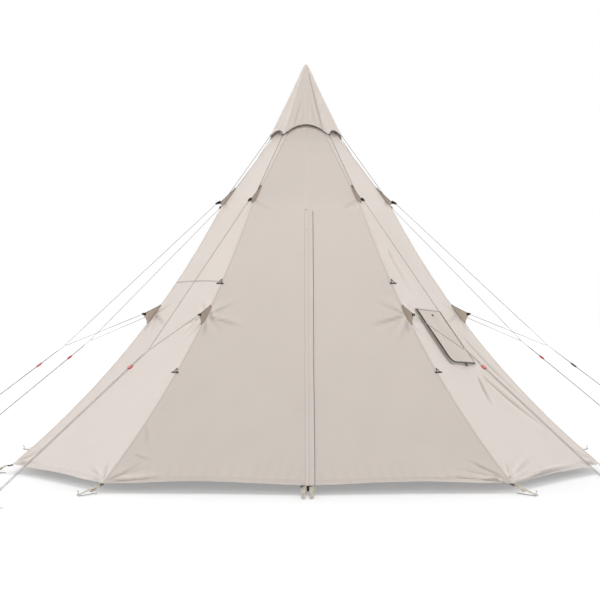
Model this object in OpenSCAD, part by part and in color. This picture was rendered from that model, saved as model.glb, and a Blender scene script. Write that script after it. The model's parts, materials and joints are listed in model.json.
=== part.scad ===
// Ten-panel pyramid tent on a centre pole, with a zipped front door, a raised
// vent cap, a stove-pipe panel and eight adjustable guy lines.
// The pole stands on the origin, the ground is z = 0 and the door faces -Y.
// Canopy heights are counted from the hem, which floats hem_gap above the ground.

/* [Canopy] */
// Height of the vent cap's tip above the hem
cap_height = 2800; // [2740:10:2900]
// Height of the hem above the ground
hem_gap = 60; // [50:5:90]
// Half width of the front and rear faces at the hem
face_half_w = 1233; // [1150:1:1300]
// Distance from the pole to the front and rear corners, front to back
corner_depth = 2034; // [1960:1:2080]
// Distance from the pole to the middle of the front and rear hem
centre_depth = 2145; // [2100:1:2200]
// Distance from the pole to the side faces at the hem
side_depth = 1970; // [1900:1:2040]
// Half width of the side faces at the hem
side_half_w = 838; // [780:1:900]
// Height where the flared skirt meets the straight upper cone
shoulder_z = 1750; // [1700:10:1800]
// Distance from the pole to the front centre line at that height
shoulder_r = 655; // [630:1:680]
// Radius of the curve that the flared skirt follows up the front centre line
flare_radius = 5800; // [5400:50:6600]
// Inward run of the upper cone for each millimetre of height
upper_slope = 0.79; // [0.74:0.01:0.82]
// Thickness of the canopy fabric, measured level
fabric_t = 4; // [3:0.5:5]
// Height of the canopy's upper edge
canopy_top_z = 2300; // [2290:5:2330]
// Height of the vent mesh above that edge
mesh_h = 140; // [120:5:150]
// Height of the crown patch above the mesh
crown_h = 90; // [80:5:100]
// Width of the tapes that cover the ridge seams
ridge_tape_w = 24; // [18:1:30]
// Thickness of the ridge tapes and the hem webbing, measured level
tape_t = 2; // [1.5:0.1:3]
// Height of the hem webbing
hem_h = 25; // [20:1:35]

/* [Vent cap] */
// Height of the cap's lower corners
cap_corner_z = 2270; // [2250:5:2290]
// Reach of the cap's corners as a share of the hem's plan
cap_share = 0.131; // [0.127:0.001:0.14]
// Rise of the arch cut in the front and rear of the cap
face_arch_rise = 70; // [50:1:85]
// Rise of the arches cut in its other faces
side_arch_rise = 35; // [25:1:45]
// Width of the wire-stiffened binding along the arches
binding_w = 9; // [6:1:12]
// Thickness of that binding, measured level
binding_t = 4; // [3:0.5:5]

/* [Door] */
// Height of the point where both halves of the door meet
door_top_z = 1660; // [1600:5:1690]
// Distance that each half of the door stops below that point
door_tip_cut = 18; // [16:1:30]
// Distance of each door's lower hinge end from the front centre
door_foot_x = 1150; // [1080:5:1170]
// Half width of the slot between the two halves, for the zip
zip_slot = 9; // [8.5:0.5:11]
// Width of each zip tape
zip_tape_w = 13; // [11:1:16]
// Thickness of the zip tapes
zip_tape_t = 1.2; // [0.8:0.1:1.6]
// Width of each row of zip teeth
zip_teeth_w = 2.4; // [2:0.1:3]
// Thickness of the zip teeth
zip_teeth_t = 3.6; // [3:0.1:4]
// Length of the fixed zip above the door
zip_top_l = 60; // [56:1:70]
// Length of the zip that stays shut below the door's top
zip_shut_l = 32; // [26:1:40]
// Length of the zip slider
slider_l = 22; // [18:1:26]
// Width of the zip slider
slider_w = 14; // [12:0.5:15]
// Thickness of the slider's two plates
slider_plate_t = 2; // [1.5:0.1:2.4]
// Length of the slider's pull
pull_l = 34; // [25:1:45]
// Width of the storm flap over the zip
storm_flap_w = 60; // [46:1:66]
// Thickness of the storm flap
storm_flap_t = 2; // [1.5:0.1:3]
// Distance of the storm flap's top below the door's top
storm_short = 90; // [70:5:120]
// Width of the storm flap that is sewn to the left half
storm_seam_w = 3; // [2:0.5:5]

/* [Gussets and toggles] */
// Height of the middle of the upper gussets
upper_gusset_z = 1830; // [1810:5:1850]
// Height of the middle of the lower gussets
lower_gusset_z = 1003; // [980:1:1030]
// Length of a gusset along its ridge, measured upright
gusset_h = 120; // [100:5:130]
// Reach of the upper gussets' tips
upper_gusset_out = 52; // [45:1:60]
// Reach of the lower gussets' tips
lower_gusset_out = 88; // [80:1:100]
// Thickness of a gusset
gusset_t = 4; // [3:0.5:6]
// Radius of the small rings in the gussets' tips, to the middle of the wire
ring_r = 9; // [7:0.5:11]
// Radius of the rings' wire
ring_wire_r = 1.5; // [1.2:0.1:1.8]
// Height of the upper pair of tie-back toggles
upper_toggle_z = 1233; // [1200:1:1260]
// Height of the lower pair of tie-back toggles
lower_toggle_z = 656; // [630:1:690]
// Length of a toggle bar
toggle_l = 40; // [30:1:50]
// Radius of a toggle bar
toggle_r = 4.5; // [3.5:0.5:6]
// Length of a toggle's strap
toggle_strap_l = 34; // [25:1:45]

/* [Stove-pipe panel] */
// Height of the panel's middle
stove_z = 850; // [840:5:870]
// Distance of its middle from the middle of its facet, towards the side panel
stove_side = -45; // [-60:5:0]
// Width of the heatproof panel
stove_w = 330; // [290:5:340]
// Length of the panel up its slope
stove_h = 468; // [430:2:480]
// Thickness of the panel
stove_t = 3; // [2:0.5:4]
// Radius of the stove-pipe hole
pipe_r = 50; // [40:1:60]
// Distance of the hole above the panel's middle
pipe_rise = 30; // [0:5:60]
// Turn of the panel on its face
stove_turn = 5; // [0:1:10]
// Margin of heatproof panel left around its cover
cover_margin = 12; // [8:1:20]
// Thickness of the cover
cover_t = 3; // [2:0.5:4]
// Margin of the panel that is sewn to the canopy around the window
window_margin = 40; // [30:1:50]

/* [Pole] */
// Outer radius of the pole
pole_r = 16; // [14:0.5:19]
// Wall of the pole
pole_wall = 1.5; // [1.2:0.1:2]
// Length of each spigot that joins two sections
spigot_l = 80; // [60:5:100]
// Height of the joint between the lower and middle sections
lower_joint_z = 940; // [900:10:1000]
// Height of the joint between the middle and upper sections
upper_joint_z = 1870; // [1800:10:1920]
// Outer radius of the rubber foot
foot_r = 27; // [24:1:34]
// Height of the rubber foot
foot_h = 45; // [35:1:60]
// Thickness of rubber under the pole
foot_floor = 8; // [5:1:12]

/* [Webbing, pegs and guy lines] */
// Distance from a hem corner to its peg
strap_reach = 230; // [210:5:260]
// Width of the corner straps
strap_w = 25; // [20:1:30]
// Thickness of the corner straps
strap_t = 2; // [1.5:0.1:2.5]
// Length of a ladder-lock buckle
buckle_l = 34; // [28:1:40]
// Width of a buckle
buckle_w = 34; // [32:1:38]
// Thickness of a buckle
buckle_t = 5; // [4:0.5:6]
// Distance of the two door straps from the front centre line
door_strap_x = 24; // [20:1:30]
// Length of a peg's shaft
peg_l = 180; // [150:5:220]
// Radius of the pegs' wire
peg_r = 3; // [2.5:0.1:3.5]
// Height of a peg's head above its shaft
peg_head_h = 26; // [22:1:34]
// Diameter of the guy lines
cord_d = 3; // [2.5:0.1:3.5]
// Length of a guy line's tensioner
tensioner_l = 46; // [36:1:60]
// Width of a tensioner
tensioner_w = 24; // [20:1:30]
// Thickness of a tensioner
tensioner_t = 9; // [7:0.5:12]
// Distance of a tensioner from its join ring, along the line
tensioner_at = 220; // [180:10:260]
// Radius of the join rings, to the middle of the wire
join_ring_r = 10; // [8:0.5:12]

/* [Hidden] */

$fn = 48;
gap = 0.4;          // clearance between neighbouring pieces
fit_gap = 0.05;     // clearance of a spigot in its tube
skirt_steps = 12;   // flat strips up the flared skirt
seam_step = 8;      // the strip where the level seam runs
zip_fn = 720;       // sides of the full circle that the zip is an arc of
big = 6400;         // longer than the tent in every direction
eps = 0.01;

fabric_c = [0.87, 0.83, 0.78];
seam_c = [0.80, 0.76, 0.70];
webbing_c = [0.78, 0.74, 0.66];
gusset_c = [0.60, 0.52, 0.45];
black_c = [0.08, 0.08, 0.08];
steel_c = [0.62, 0.63, 0.65];
cord_c = [0.82, 0.79, 0.70];
red_c = [0.72, 0.10, 0.08];
grey_c = [0.50, 0.48, 0.46];
mesh_c = [0.25, 0.25, 0.25];

// ---- plan of the canopy at the hem, anticlockwise from the front centre ----
PLAN = [
    [0, -centre_depth], [face_half_w, -corner_depth], [side_depth, -side_half_w],
    [side_depth, side_half_w], [face_half_w, corner_depth], [0, centre_depth],
    [-face_half_w, corner_depth], [-side_depth, side_half_w],
    [-side_depth, -side_half_w], [-face_half_w, -corner_depth]
];
RIDGES = [1, 2, 3, 4, 6, 7, 8, 9];   // plan corners that are ridges
FRONT_RIGHT = 0;
RIGHT_FRONT = 1;
RIGHT_SIDE = 2;
RIGHT_REAR = 3;
REAR_RIGHT = 4;
REAR_LEFT = 5;
LEFT_REAR = 6;
LEFT_SIDE = 7;
LEFT_FRONT = 8;
FRONT_LEFT = 9;
ALL_FACETS = [0:9];

function corner(i) = PLAN[(i + 10) % 10];
function corner_turn(i) = atan2(corner(i)[1], corner(i)[0]);
function corner_reach(i) = norm(corner(i));
function edge(i) = corner(i + 1) - corner(i);
function facet_turn(i) = atan2(-edge(i)[0], edge(i)[1]);
function along(i) = [-sin(facet_turn(i)), cos(facet_turn(i))];
function facet_depth(i) = corner(i) * [cos(facet_turn(i)), sin(facet_turn(i))];
function facet_middle(i) = (corner(i) + corner(i + 1)) * along(i) / 2;

// ---- profile up the front centre line: an arc, then a straight cone ----
chord = [centre_depth - shoulder_r, -shoulder_z];
chord_l = norm(chord);
flare_rise = sqrt(pow(flare_radius, 2) - pow(chord_l / 2, 2));
flare_r = (centre_depth + shoulder_r) / 2 + flare_rise * shoulder_z / chord_l;
flare_z = shoulder_z / 2 + flare_rise * (centre_depth - shoulder_r) / chord_l;
hem_angle = asin(flare_z / flare_radius);
shoulder_angle = asin((flare_z - shoulder_z) / flare_radius);

function arc_angle(z) = asin((flare_z - z) / flare_radius);
function skirt_r(z) = flare_r - flare_radius * cos(arc_angle(z));
function step_angle(k) = hem_angle + (shoulder_angle - hem_angle) * k / skirt_steps;
function step_z(k) = flare_z - flare_radius * sin(step_angle(k));
skirt_line = [for (k = [0:skirt_steps]) [step_z(k), skirt_r(step_z(k))]];
function cone_r(z) = shoulder_r - upper_slope * (z - shoulder_z);
function centre_r(z) = z < shoulder_z ? lookup(z, skirt_line) : cone_r(z);
function share(z) = centre_r(z) / centre_depth;
function heights(from, to) = concat(
    [from],
    [for (k = [0:skirt_steps]) if (step_z(k) > from + 1 && step_z(k) < to - 1) step_z(k)],
    [to]
);
strip_sag = flare_radius * (1 - cos((hem_angle - shoulder_angle) / skirt_steps / 2));
seam_z = step_z(seam_step);
mesh_top_z = canopy_top_z + mesh_h;
crown_top_z = mesh_top_z + crown_h;

// Slope of a line that climbs the canopy, as an angle from upright
function tilt(reach, z) = atan(reach * (share(z - 50) - share(z + 50)) / 100);

module above_hem() { translate([0, 0, hem_gap]) children(); }

// The wedge of space between two neighbouring plan corners
module wedge(i) {
    translate([0, 0, -big / 2])
        linear_extrude(big)
            polygon([[0, 0], 1.3 * corner(i), 1.3 * corner(i + 1)]);
}

// A band of cloth that follows facet i between two heights, standing out by lift
module band(i, from, to, lift, thick) {
    hs = heights(from, to);
    n = len(hs) - 1;
    outer = [for (z = hs) [facet_depth(i) * share(z) + lift, z]];
    inner = [for (k = [n:-1:0]) [outer[k][0] - thick, outer[k][1]]];
    rotate([0, 0, facet_turn(i)])
        translate([0, big / 2, 0])
            rotate([90, 0, 0])
                linear_extrude(big)
                    polygon(concat(outer, inner));
}

module facet(i, from, to, lift = 0, thick = fabric_t) {
    intersection() {
        band(i, from, to, lift, thick);
        wedge(i);
    }
}

// One whole facet, in two widths of cloth that meet at the level seam
module sewn_facet(i) {
    facet(i, 0, seam_z);
    facet(i, seam_z, canopy_top_z);
}

// ---- rear and side panels ----
module panel_rear() {
    color(fabric_c)
        above_hem()
            for (z = [[0, seam_z], [seam_z, canopy_top_z]])
                union() {
                    facet(REAR_RIGHT, z[0], z[1]);
                    facet(REAR_LEFT, z[0], z[1]);
                }
}
module panel_left_rear() { color(fabric_c) above_hem() sewn_facet(LEFT_REAR); }
module panel_left_side() { color(fabric_c) above_hem() sewn_facet(LEFT_SIDE); }
module panel_left_front() { color(fabric_c) above_hem() sewn_facet(LEFT_FRONT); }
module panel_right_side() { color(fabric_c) above_hem() sewn_facet(RIGHT_SIDE); }
module panel_right_rear() { color(fabric_c) above_hem() sewn_facet(RIGHT_REAR); }

// ---- stove-pipe panel on the right front facet ----
stove_tilt = tilt(facet_depth(RIGHT_FRONT), stove_z);
stove_radius = flare_radius * facet_depth(RIGHT_FRONT) / centre_depth;
stove_half_run = (stove_h * cos(stove_turn) + stove_w * sin(stove_turn)) / 2;
stove_sag = pow(stove_half_run, 2) / 2 / stove_radius;   // hollow of the facet behind the panel
stove_lift = stove_sag + strip_sag / 2 + gap;
window_w = stove_w - 2 * window_margin;
window_h = stove_h - 2 * window_margin;
cover_w = stove_w - 2 * cover_margin;
cover_h = stove_h - 2 * cover_margin;

// A frame on the facet: x points out of it, z up its slope
module on_stove_facet() {
    rotate([0, 0, facet_turn(RIGHT_FRONT)])
        translate([
            facet_depth(RIGHT_FRONT) * share(stove_z),
            facet_middle(RIGHT_FRONT) * share(stove_z) + stove_side,
            hem_gap + stove_z
        ])
            rotate([0, -stove_tilt, 0])
                rotate([-stove_turn, 0, 0])
                    children();
}

// A sheet that lies on that frame, from x = back outwards
module stove_sheet(back, thick, w, h) {
    translate([back, -w / 2, -h / 2]) cube([thick, w, h]);
}

// The strips of cloth around the window, cut square with its edges
module window_strip(part) {
    side = big;
    if (part == "left") translate([-side / 2, -side, -window_h / 2]) cube([side, side - window_w / 2, window_h]);
    if (part == "right") translate([-side / 2, window_w / 2, -window_h / 2]) cube([side, side, window_h]);
    if (part == "below") translate([-side / 2, -side, -side - window_h / 2]) cube([side, 2 * side, side]);
    if (part == "above") translate([-side / 2, -side, window_h / 2]) cube([side, 2 * side, side]);
}

module panel_right_front() {
    color(fabric_c) {
        for (part = ["left", "right", "below", "above"])
            intersection() {
                above_hem() facet(RIGHT_FRONT, 0, seam_z);
                on_stove_facet() window_strip(part);
            }
        above_hem() facet(RIGHT_FRONT, seam_z, canopy_top_z);
    }
}

module stove_panel() {
    color(grey_c)
        on_stove_facet()
            difference() {
                stove_sheet(stove_lift, stove_t, stove_w, stove_h);
                translate([0, 0, pipe_rise])
                    rotate([0, 90, 0])
                        cylinder(r = pipe_r, h = big / 10);
            }
}

cover_back = stove_lift + stove_t + gap;
module stove_cover() {
    color(fabric_c) on_stove_facet() stove_sheet(cover_back, cover_t, cover_w, cover_h);
}

// The strap that ties the cover down, sewn below it
strap_tab_l = 50;
module stove_strap() {
    color(black_c)
        on_stove_facet()
            translate([stove_lift + stove_t + gap, stove_w / 6, -stove_h / 2 - strap_tab_l / 3])
                cube([strap_t, strap_w, cover_margin + strap_tab_l / 3 - gap]);
}

// ---- front panels and doors ----
door_drop = 100;   // how far the cutting outlines run below the hem

// The part of the front that swings with one half of the door
module door_zone(side, shrink) {
    slope_l = norm([door_foot_x, door_top_z]);
    dx = shrink * slope_l / door_top_z;
    low_x = door_foot_x * (1 + door_drop / door_top_z);
    translate([0, hem_gap, 0])
        rotate([90, 0, 0])
            linear_extrude(big)
                polygon([
                    [-side * dx, door_top_z],
                    [side * (low_x - dx), -door_drop],
                    [-side * dx, -door_drop]
                ]);
}

module half_space(side) {
    translate([side > 0 ? 0 : -big, -big, -big / 2]) cube([big, big, big]);
}

module zip_slot_cut(to) {
    translate([-zip_slot, -big, -big / 2]) cube([2 * zip_slot, big, big / 2 + to]);
}

// One half of the door
module door_half(side, i) {
    color(fabric_c)
        above_hem()
            difference() {
                intersection() {
                    facet(i, 0, door_top_z - door_tip_cut);
                    door_zone(side, gap / 2);
                }
                zip_slot_cut(big / 2);
            }
}

// The fixed cloth beside and above one half of the door
module front_panel(side, i) {
    color(fabric_c)
        above_hem()
            for (z = [[0, seam_z], [seam_z, canopy_top_z]])
                difference() {
                    facet(i, z[0], z[1]);
                    door_zone(side, -gap / 2);
                    zip_slot_cut(door_top_z + zip_top_l);
                }
}
module panel_front_left() { front_panel(-1, FRONT_LEFT); }
module panel_front_right() { front_panel(1, FRONT_RIGHT); }
module door_left() { door_half(-1, FRONT_LEFT); }
module door_right() { door_half(1, FRONT_RIGHT); }

// ---- zip: everything on it is an arc about one far line in front of the tent ----
zip_bottom_z = 12;
row_gap = 0.8;            // half the room between the two rows of teeth
zip_half_w = row_gap + zip_teeth_w + zip_tape_w;
front_fall = (centre_depth - corner_depth) / face_half_w;   // how fast the front falls back sideways
tape_in = (fabric_t + front_fall * zip_half_w) * cos(shoulder_angle) + gap;
teeth_in = tape_in + zip_tape_t / 2 - zip_teeth_t / 2;
storm_out = 5;                                        // room for the slider's pull

// A ring sector about the far line: from x0 to x1 sideways, inward by in, thick deep
module zip_arc(x0, x1, in, thick, from, to) {
    low = arc_angle(from);
    high = arc_angle(to);
    translate([0, -flare_r, flare_z])
        rotate([0, 90, 0])
            rotate([0, 0, 90 - low])
                rotate_extrude(angle = low - high, $fn = zip_fn)
                    translate([flare_radius + in, x0])
                        square([thick, x1 - x0]);
}

module zip_side(side, from, to) {
    a = row_gap;
    b = row_gap + zip_teeth_w;
    c = b + zip_tape_w;
    zip_arc(side > 0 ? b : -c, side > 0 ? c : -b, tape_in, zip_tape_t, from, to);
    zip_arc(side > 0 ? a : -b, side > 0 ? b : -a, teeth_in, zip_teeth_t, from, to);
}

module zip_tape(side) {
    color(black_c)
        above_hem()
            intersection() {
                zip_side(side, zip_bottom_z, door_top_z - zip_shut_l);
                door_zone(side, gap / 2);
            }
}
module zip_tape_left() { zip_tape(-1); }
module zip_tape_right() { zip_tape(1); }

module zip_top() {
    color(black_c)
        above_hem() {
            for (side = [-1, 1])
                union() zip_side(side, door_top_z - zip_shut_l + gap, door_top_z + zip_top_l - 4);
            zip_arc(-6, 6, teeth_in, zip_teeth_t, door_top_z + zip_top_l - 4 + gap, door_top_z + zip_top_l);
        }
}

// A frame on the zip at height z: x to the right, y inwards, z up its slope
module on_zip(z) {
    a = arc_angle(z);
    translate([0, -flare_r + flare_radius * cos(a), flare_z - flare_radius * sin(a)])
        rotate([-a, 0, 0])
            children();
}

slider_z = door_top_z + pull_l + 2;
plate_front_in = teeth_in - gap - slider_plate_t;
plate_back_in = teeth_in + zip_teeth_t + gap;
neck_w = 2 * row_gap - 2 * gap + 0.2;
module zip_slider() {
    color(steel_c)
        above_hem()
            on_zip(slider_z)
                union() {
                    translate([-slider_w / 2, plate_front_in, -slider_l / 2])
                        cube([slider_w, slider_plate_t, slider_l]);
                    translate([-slider_w / 2, plate_back_in, -slider_l / 2])
                        cube([slider_w, slider_plate_t, slider_l]);
                    translate([-neck_w / 2, plate_front_in, -slider_l / 4])
                        cube([neck_w, plate_back_in - plate_front_in + eps, slider_l / 2]);
                }
}

pull_t = 1.6;
module zip_pull() {
    color(black_c)
        above_hem()
            on_zip(slider_z)
                translate([-slider_w / 4, plate_front_in - gap - pull_t, -pull_l])
                    cube([slider_w / 2, pull_t, pull_l + slider_l / 4]);
}

storm_left = -zip_slot - storm_seam_w - 1;
storm_top_z = door_top_z - storm_short;
seam_in = front_fall * (-storm_left - storm_seam_w) * cos(hem_angle) - strip_sag - gap;
module storm_flap() {
    color(fabric_c)
        above_hem()
            union() {
                zip_arc(
                    storm_left, storm_left + storm_flap_w,
                    -storm_out - storm_flap_t, storm_flap_t, zip_bottom_z, storm_top_z
                );
                zip_arc(
                    storm_left, storm_left + storm_seam_w,
                    -storm_out - eps, storm_out + seam_in + eps, zip_bottom_z, storm_top_z
                );
            }
}

// ---- top of the tent ----
cap_drop = cap_height - cap_corner_z;
function cap_x(i, z) = facet_depth(i) * cap_share * (cap_height - z) / cap_drop;

// A layer of the cap's facet i, standing out by lift
module cap_layer(i, lift, thick) {
    low = cap_corner_z;
    high = cap_height;
    grow = lift * cap_drop / (facet_depth(i) * cap_share);
    intersection() {
        rotate([0, 0, facet_turn(i)])
            translate([0, big / 2, 0])
                rotate([90, 0, 0])
                    linear_extrude(big)
                        polygon([
                            [cap_x(i, low) + lift, low],
                            [0, high + grow],
                            [-thick, high + grow],
                            [cap_x(i, low) + lift - thick, low]
                        ]);
        wedge(i);
    }
}

// Round outline that cuts the arch of facet i; the front and rear pairs share one
cap_foot_w = 15;   // flat foot left at each end of an arch
CAP_ARCHES = [FRONT_RIGHT, RIGHT_FRONT, RIGHT_SIDE, RIGHT_REAR, REAR_RIGHT, LEFT_REAR, LEFT_SIDE, LEFT_FRONT];
module arch(i, extra = 0) {
    face = i == FRONT_RIGHT || i == FRONT_LEFT || i == REAR_RIGHT || i == REAR_LEFT;
    half = (face ? face_half_w : norm(edge(i)) / 2) * cap_share - cap_foot_w;
    rise = face ? face_arch_rise : side_arch_rise;
    r = (pow(half, 2) + pow(rise, 2)) / 2 / rise;
    turn = face ? (i == FRONT_RIGHT || i == FRONT_LEFT ? -90 : 90) : facet_turn(i);
    middle = face ? 0 : facet_middle(i) * cap_share;
    rotate([0, 0, turn])
        translate([0, middle, cap_corner_z + rise - r])
            rotate([0, 90, 0])
                cylinder(r = r + extra, h = big / 4, $fn = 180);
}

// The whole pyramid of the cap; the hollow one is the same shape, moved down
module cap_pyramid() {
    translate([0, 0, cap_corner_z])
        linear_extrude(cap_drop, scale = 0)
            polygon([for (c = PLAN) cap_share * c]);
}

module vent_cap() {
    color(fabric_c)
        above_hem()
            difference() {
                cap_pyramid();
                translate([0, 0, -fabric_t * cap_drop / side_depth / cap_share]) cap_pyramid();
                for (i = CAP_ARCHES) arch(i);
            }
}

module cap_binding() {
    color(black_c)
        above_hem()
            union()
                for (i = ALL_FACETS)
                    difference() {
                        intersection() {
                            cap_layer(i, gap + binding_t, binding_t);
                            arch(i, binding_w);
                        }
                        arch(i);
                    }
}

module ring_of_facets(from, to, lift = 0, thick = fabric_t) {
    union() for (i = ALL_FACETS) facet(i, from, to, lift, thick);
}

module vent_mesh() { color(mesh_c) above_hem() ring_of_facets(canopy_top_z, mesh_top_z); }

sleeve_wall = 4;
module crown() {
    color(gusset_c)
        above_hem()
            difference() {
                union() {
                    ring_of_facets(mesh_top_z, crown_top_z);
                    translate([0, 0, crown_top_z - fabric_t])
                        cylinder(r = side_depth * share(crown_top_z) - 1, h = fabric_t);
                    translate([0, 0, crown_top_z - 30])
                        cylinder(r = pole_r + gap + sleeve_wall, h = 50);
                }
                translate([0, 0, crown_top_z - 200]) cylinder(r = pole_r + gap, h = 400);
            }
}

// ---- ridge tapes with the toggles' tabs, and the hem webbing ----
// The space beside ridge i, out to half the tape's width on one side
module beside_ridge(i, side) {
    half_w = ridge_tape_w / 2;
    rotate([0, 0, corner_turn(i)])
        translate([0, side > 0 ? gap / 2 : -half_w, -big / 2])
            cube([big, half_w - gap / 2, big]);
}

tape_lift = gap + tape_t;
function ridge_lift(i) = tape_lift / sqrt((1 + along(i) * along(i - 1)) / 2);

toggle_tab_h = 14;
toggle_tab_out = 8;
toggle_axis_out = toggle_r + gap;
strap_thin = 2;   // thickness of a toggle's strap

// A frame on ridge i at height z: x out of the ridge, z up along it
module on_ridge(i, z) {
    t = tilt(corner_reach(i), z);
    rotate([0, 0, corner_turn(i)])
        translate([corner_reach(i) * share(z), 0, hem_gap + z])
            rotate([0, -t, 0])
                translate([ridge_lift(i) * cos(t) + gap, 0, 0])
                    children();
}

module toggle_tab(i, z) {
    on_ridge(i, z)
        translate([0, -3, strap_thin / 2 + gap])
            cube([toggle_tab_out, 6, toggle_tab_h]);
}

module ridge_tapes() {
    color(seam_c)
        for (i = RIDGES) {
            for (side = [-1, 1])
                above_hem()
                    intersection() {
                        facet(side > 0 ? i : i - 1, hem_h + gap, canopy_top_z - 60, tape_lift, tape_t);
                        beside_ridge(i, side);
                    }
            if (i == 1 || i == 9)
                for (z = [upper_toggle_z, lower_toggle_z]) toggle_tab(i, z);
        }
}

module hem_webbing() {
    color(webbing_c)
        above_hem()
            union()
                for (i = [RIGHT_FRONT, RIGHT_SIDE, RIGHT_REAR, REAR_RIGHT, REAR_LEFT, LEFT_REAR, LEFT_SIDE, LEFT_FRONT])
                    facet(i, 0, hem_h, tape_lift, tape_t);
}

// ---- gussets and their rings ----
gusset_eye_r = ring_wire_r + gap;
eye_inset = 7;

// Outline of a gusset in the plane of its ridge; the upper one's tip sits low
function gusset_tip(i, upper) = upper
    ? [corner_reach(i) * share(upper_gusset_z - gusset_h / 2) + upper_gusset_out, upper_gusset_z - gusset_h / 2 + 8]
    : [corner_reach(i) * share(lower_gusset_z) + lower_gusset_out, lower_gusset_z];
function gusset_eye(i, upper) = gusset_tip(i, upper) - [eye_inset, upper ? -eye_inset / 2 : 0];

module gusset(i, upper) {
    z = upper ? upper_gusset_z : lower_gusset_z;
    clear = ridge_lift(i) + 2 * gap;
    hs = heights(z - gusset_h / 2, z + gusset_h / 2);
    root = [for (h = hs) [corner_reach(i) * share(h) + clear, h]];
    tip = gusset_tip(i, upper);
    eye = gusset_eye(i, upper);
    rotate([0, 0, corner_turn(i)])
        translate([0, gusset_t / 2, hem_gap])
            rotate([90, 0, 0])
                linear_extrude(gusset_t)
                    difference() {
                        union() {
                            polygon(concat(root, [tip + [0, 5], tip - [0, 5]]));
                            translate(eye) circle(r = gusset_eye_r + 4);
                        }
                        translate(eye) circle(r = gusset_eye_r);
                    }
}
module upper_gussets() { color(gusset_c) for (i = RIDGES) gusset(i, true); }
module lower_gussets() { color(gusset_c) for (i = RIDGES) gusset(i, false); }

// A wire ring whose near side passes through a point, and whose far side lies down a slope
module link(r, wire) {
    translate([r, 0, 0]) rotate_extrude($fn = 64) translate([r, 0]) circle(r = wire, $fn = 24);
}

function ring_fall(upper) = upper ? 40 : 21;

// The point of a gusset's ring that is farthest from the tent
function ring_far(i, upper) =
    let (eye = gusset_eye(i, upper), a = ring_fall(upper), reach = 2 * ring_r)
    [eye[0] + reach * cos(a), 0, hem_gap + eye[1] - reach * sin(a)];

module gusset_rings() {
    color(steel_c)
        for (i = RIDGES)
            for (upper = [true, false]) {
                eye = gusset_eye(i, upper);
                rotate([0, 0, corner_turn(i)])
                    translate([eye[0], 0, hem_gap + eye[1]])
                        rotate([0, ring_fall(upper), 0])
                            link(ring_r, ring_wire_r);
            }
}

// ---- door tie-back toggles on the front ridges ----
module toggle(i, z) {
    color(black_c)
        on_ridge(i, z)
            union() {
                translate([toggle_axis_out - strap_thin / 2, -2.5, -toggle_strap_l])
                    cube([strap_thin, 5, toggle_strap_l]);
                translate([toggle_axis_out, 0, 0])
                    rotate([90, 0, 0])
                        cylinder(r = strap_thin / 2, h = 5, center = true);
                translate([toggle_axis_out, 0, -toggle_strap_l])
                    rotate([90, 0, 0])
                        cylinder(r = toggle_r, h = toggle_l, center = true);
            }
}
module toggle_left_upper() { toggle(9, upper_toggle_z); }
module toggle_left_lower() { toggle(9, lower_toggle_z); }
module toggle_right_upper() { toggle(1, upper_toggle_z); }
module toggle_right_lower() { toggle(1, lower_toggle_z); }

// ---- centre pole ----
pole_in_r = pole_r - pole_wall;
spigot_r = pole_in_r - fit_gap;
head_rim = 2;        // reach of the head's rim past the pole
head_tip_r = 4;      // radius of the head's flat tip
cap_steep = cap_drop / side_depth / cap_share;
head_cone_h = (pole_r + head_rim - head_tip_r) * cap_steep;
head_z = hem_gap + cap_height - (pole_r + head_rim + fabric_t + 2 * gap) * cap_steep;
pole_top_z = head_z - 12;

module pole_section(from, to, spigot) {
    color(steel_c)
        difference() {
            union() {
                translate([0, 0, from]) cylinder(r = pole_r, h = to - from);
                if (spigot) translate([0, 0, to - eps]) cylinder(r = spigot_r, h = spigot_l + eps);
            }
            translate([0, 0, from - 1])
                cylinder(r = pole_in_r, h = spigot ? to - from - 39 : to - from + 2);
            if (spigot)
                translate([0, 0, from]) cylinder(r = spigot_r - pole_wall, h = to - from + spigot_l + 1);
        }
}
module pole_lower() { pole_section(foot_floor, lower_joint_z, true); }
module pole_middle() { pole_section(lower_joint_z, upper_joint_z, true); }
module pole_upper() { pole_section(upper_joint_z, pole_top_z, false); }

module pole_foot() {
    color(black_c)
        difference() {
            cylinder(r = foot_r, h = foot_h);
            translate([0, 0, foot_floor]) cylinder(r = pole_r + fit_gap, h = foot_h);
        }
}

module pole_head() {
    color(black_c)
        rotate_extrude()
            polygon([
                [0, pole_top_z - 30], [spigot_r, pole_top_z - 30], [spigot_r, pole_top_z],
                [pole_r + head_rim, pole_top_z], [pole_r + head_rim, head_z], [head_tip_r, head_z + head_cone_h],
                [0, head_z + head_cone_h]
            ]);
}

// ---- corner straps, buckles and their pegs ----
STRAPS = concat(
    [for (i = RIDGES) [corner_turn(i), corner_reach(i), 0]],
    [[90, centre_depth, 0], [-90, centre_depth, -door_strap_x], [-90, centre_depth, door_strap_x]]
);
module at_straps() {
    for (s = STRAPS) rotate([0, 0, s[0]]) translate([s[1], s[2], 0]) children();
}

eye_r = 6;
strap_low_z = 2 * peg_r + gap + strap_t / 2;
strap_high_z = hem_gap - 6.7;
strap_drop = atan((strap_high_z - strap_low_z) / strap_reach);
module down_strap() {
    translate([0, 0, strap_high_z]) rotate([0, strap_drop, 0]) children();
}
strap_run = strap_reach / cos(strap_drop);
buckle_in = 3;    // distance of the buckle from the hem
loop_in = 8;      // distance that the buckle's loop reaches in under the hem
bar_w = 5;        // width of a buckle's bars

module corner_strap() {
    start = buckle_in + buckle_l + gap;
    down_strap()
        difference() {
            translate([start, -strap_w / 2, -strap_t / 2])
                cube([strap_run + eye_r * 2 - start, strap_w, strap_t]);
            translate([strap_run - (eye_r - peg_r - gap), 0, -10]) cylinder(r = eye_r, h = 20);
        }
}

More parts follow.
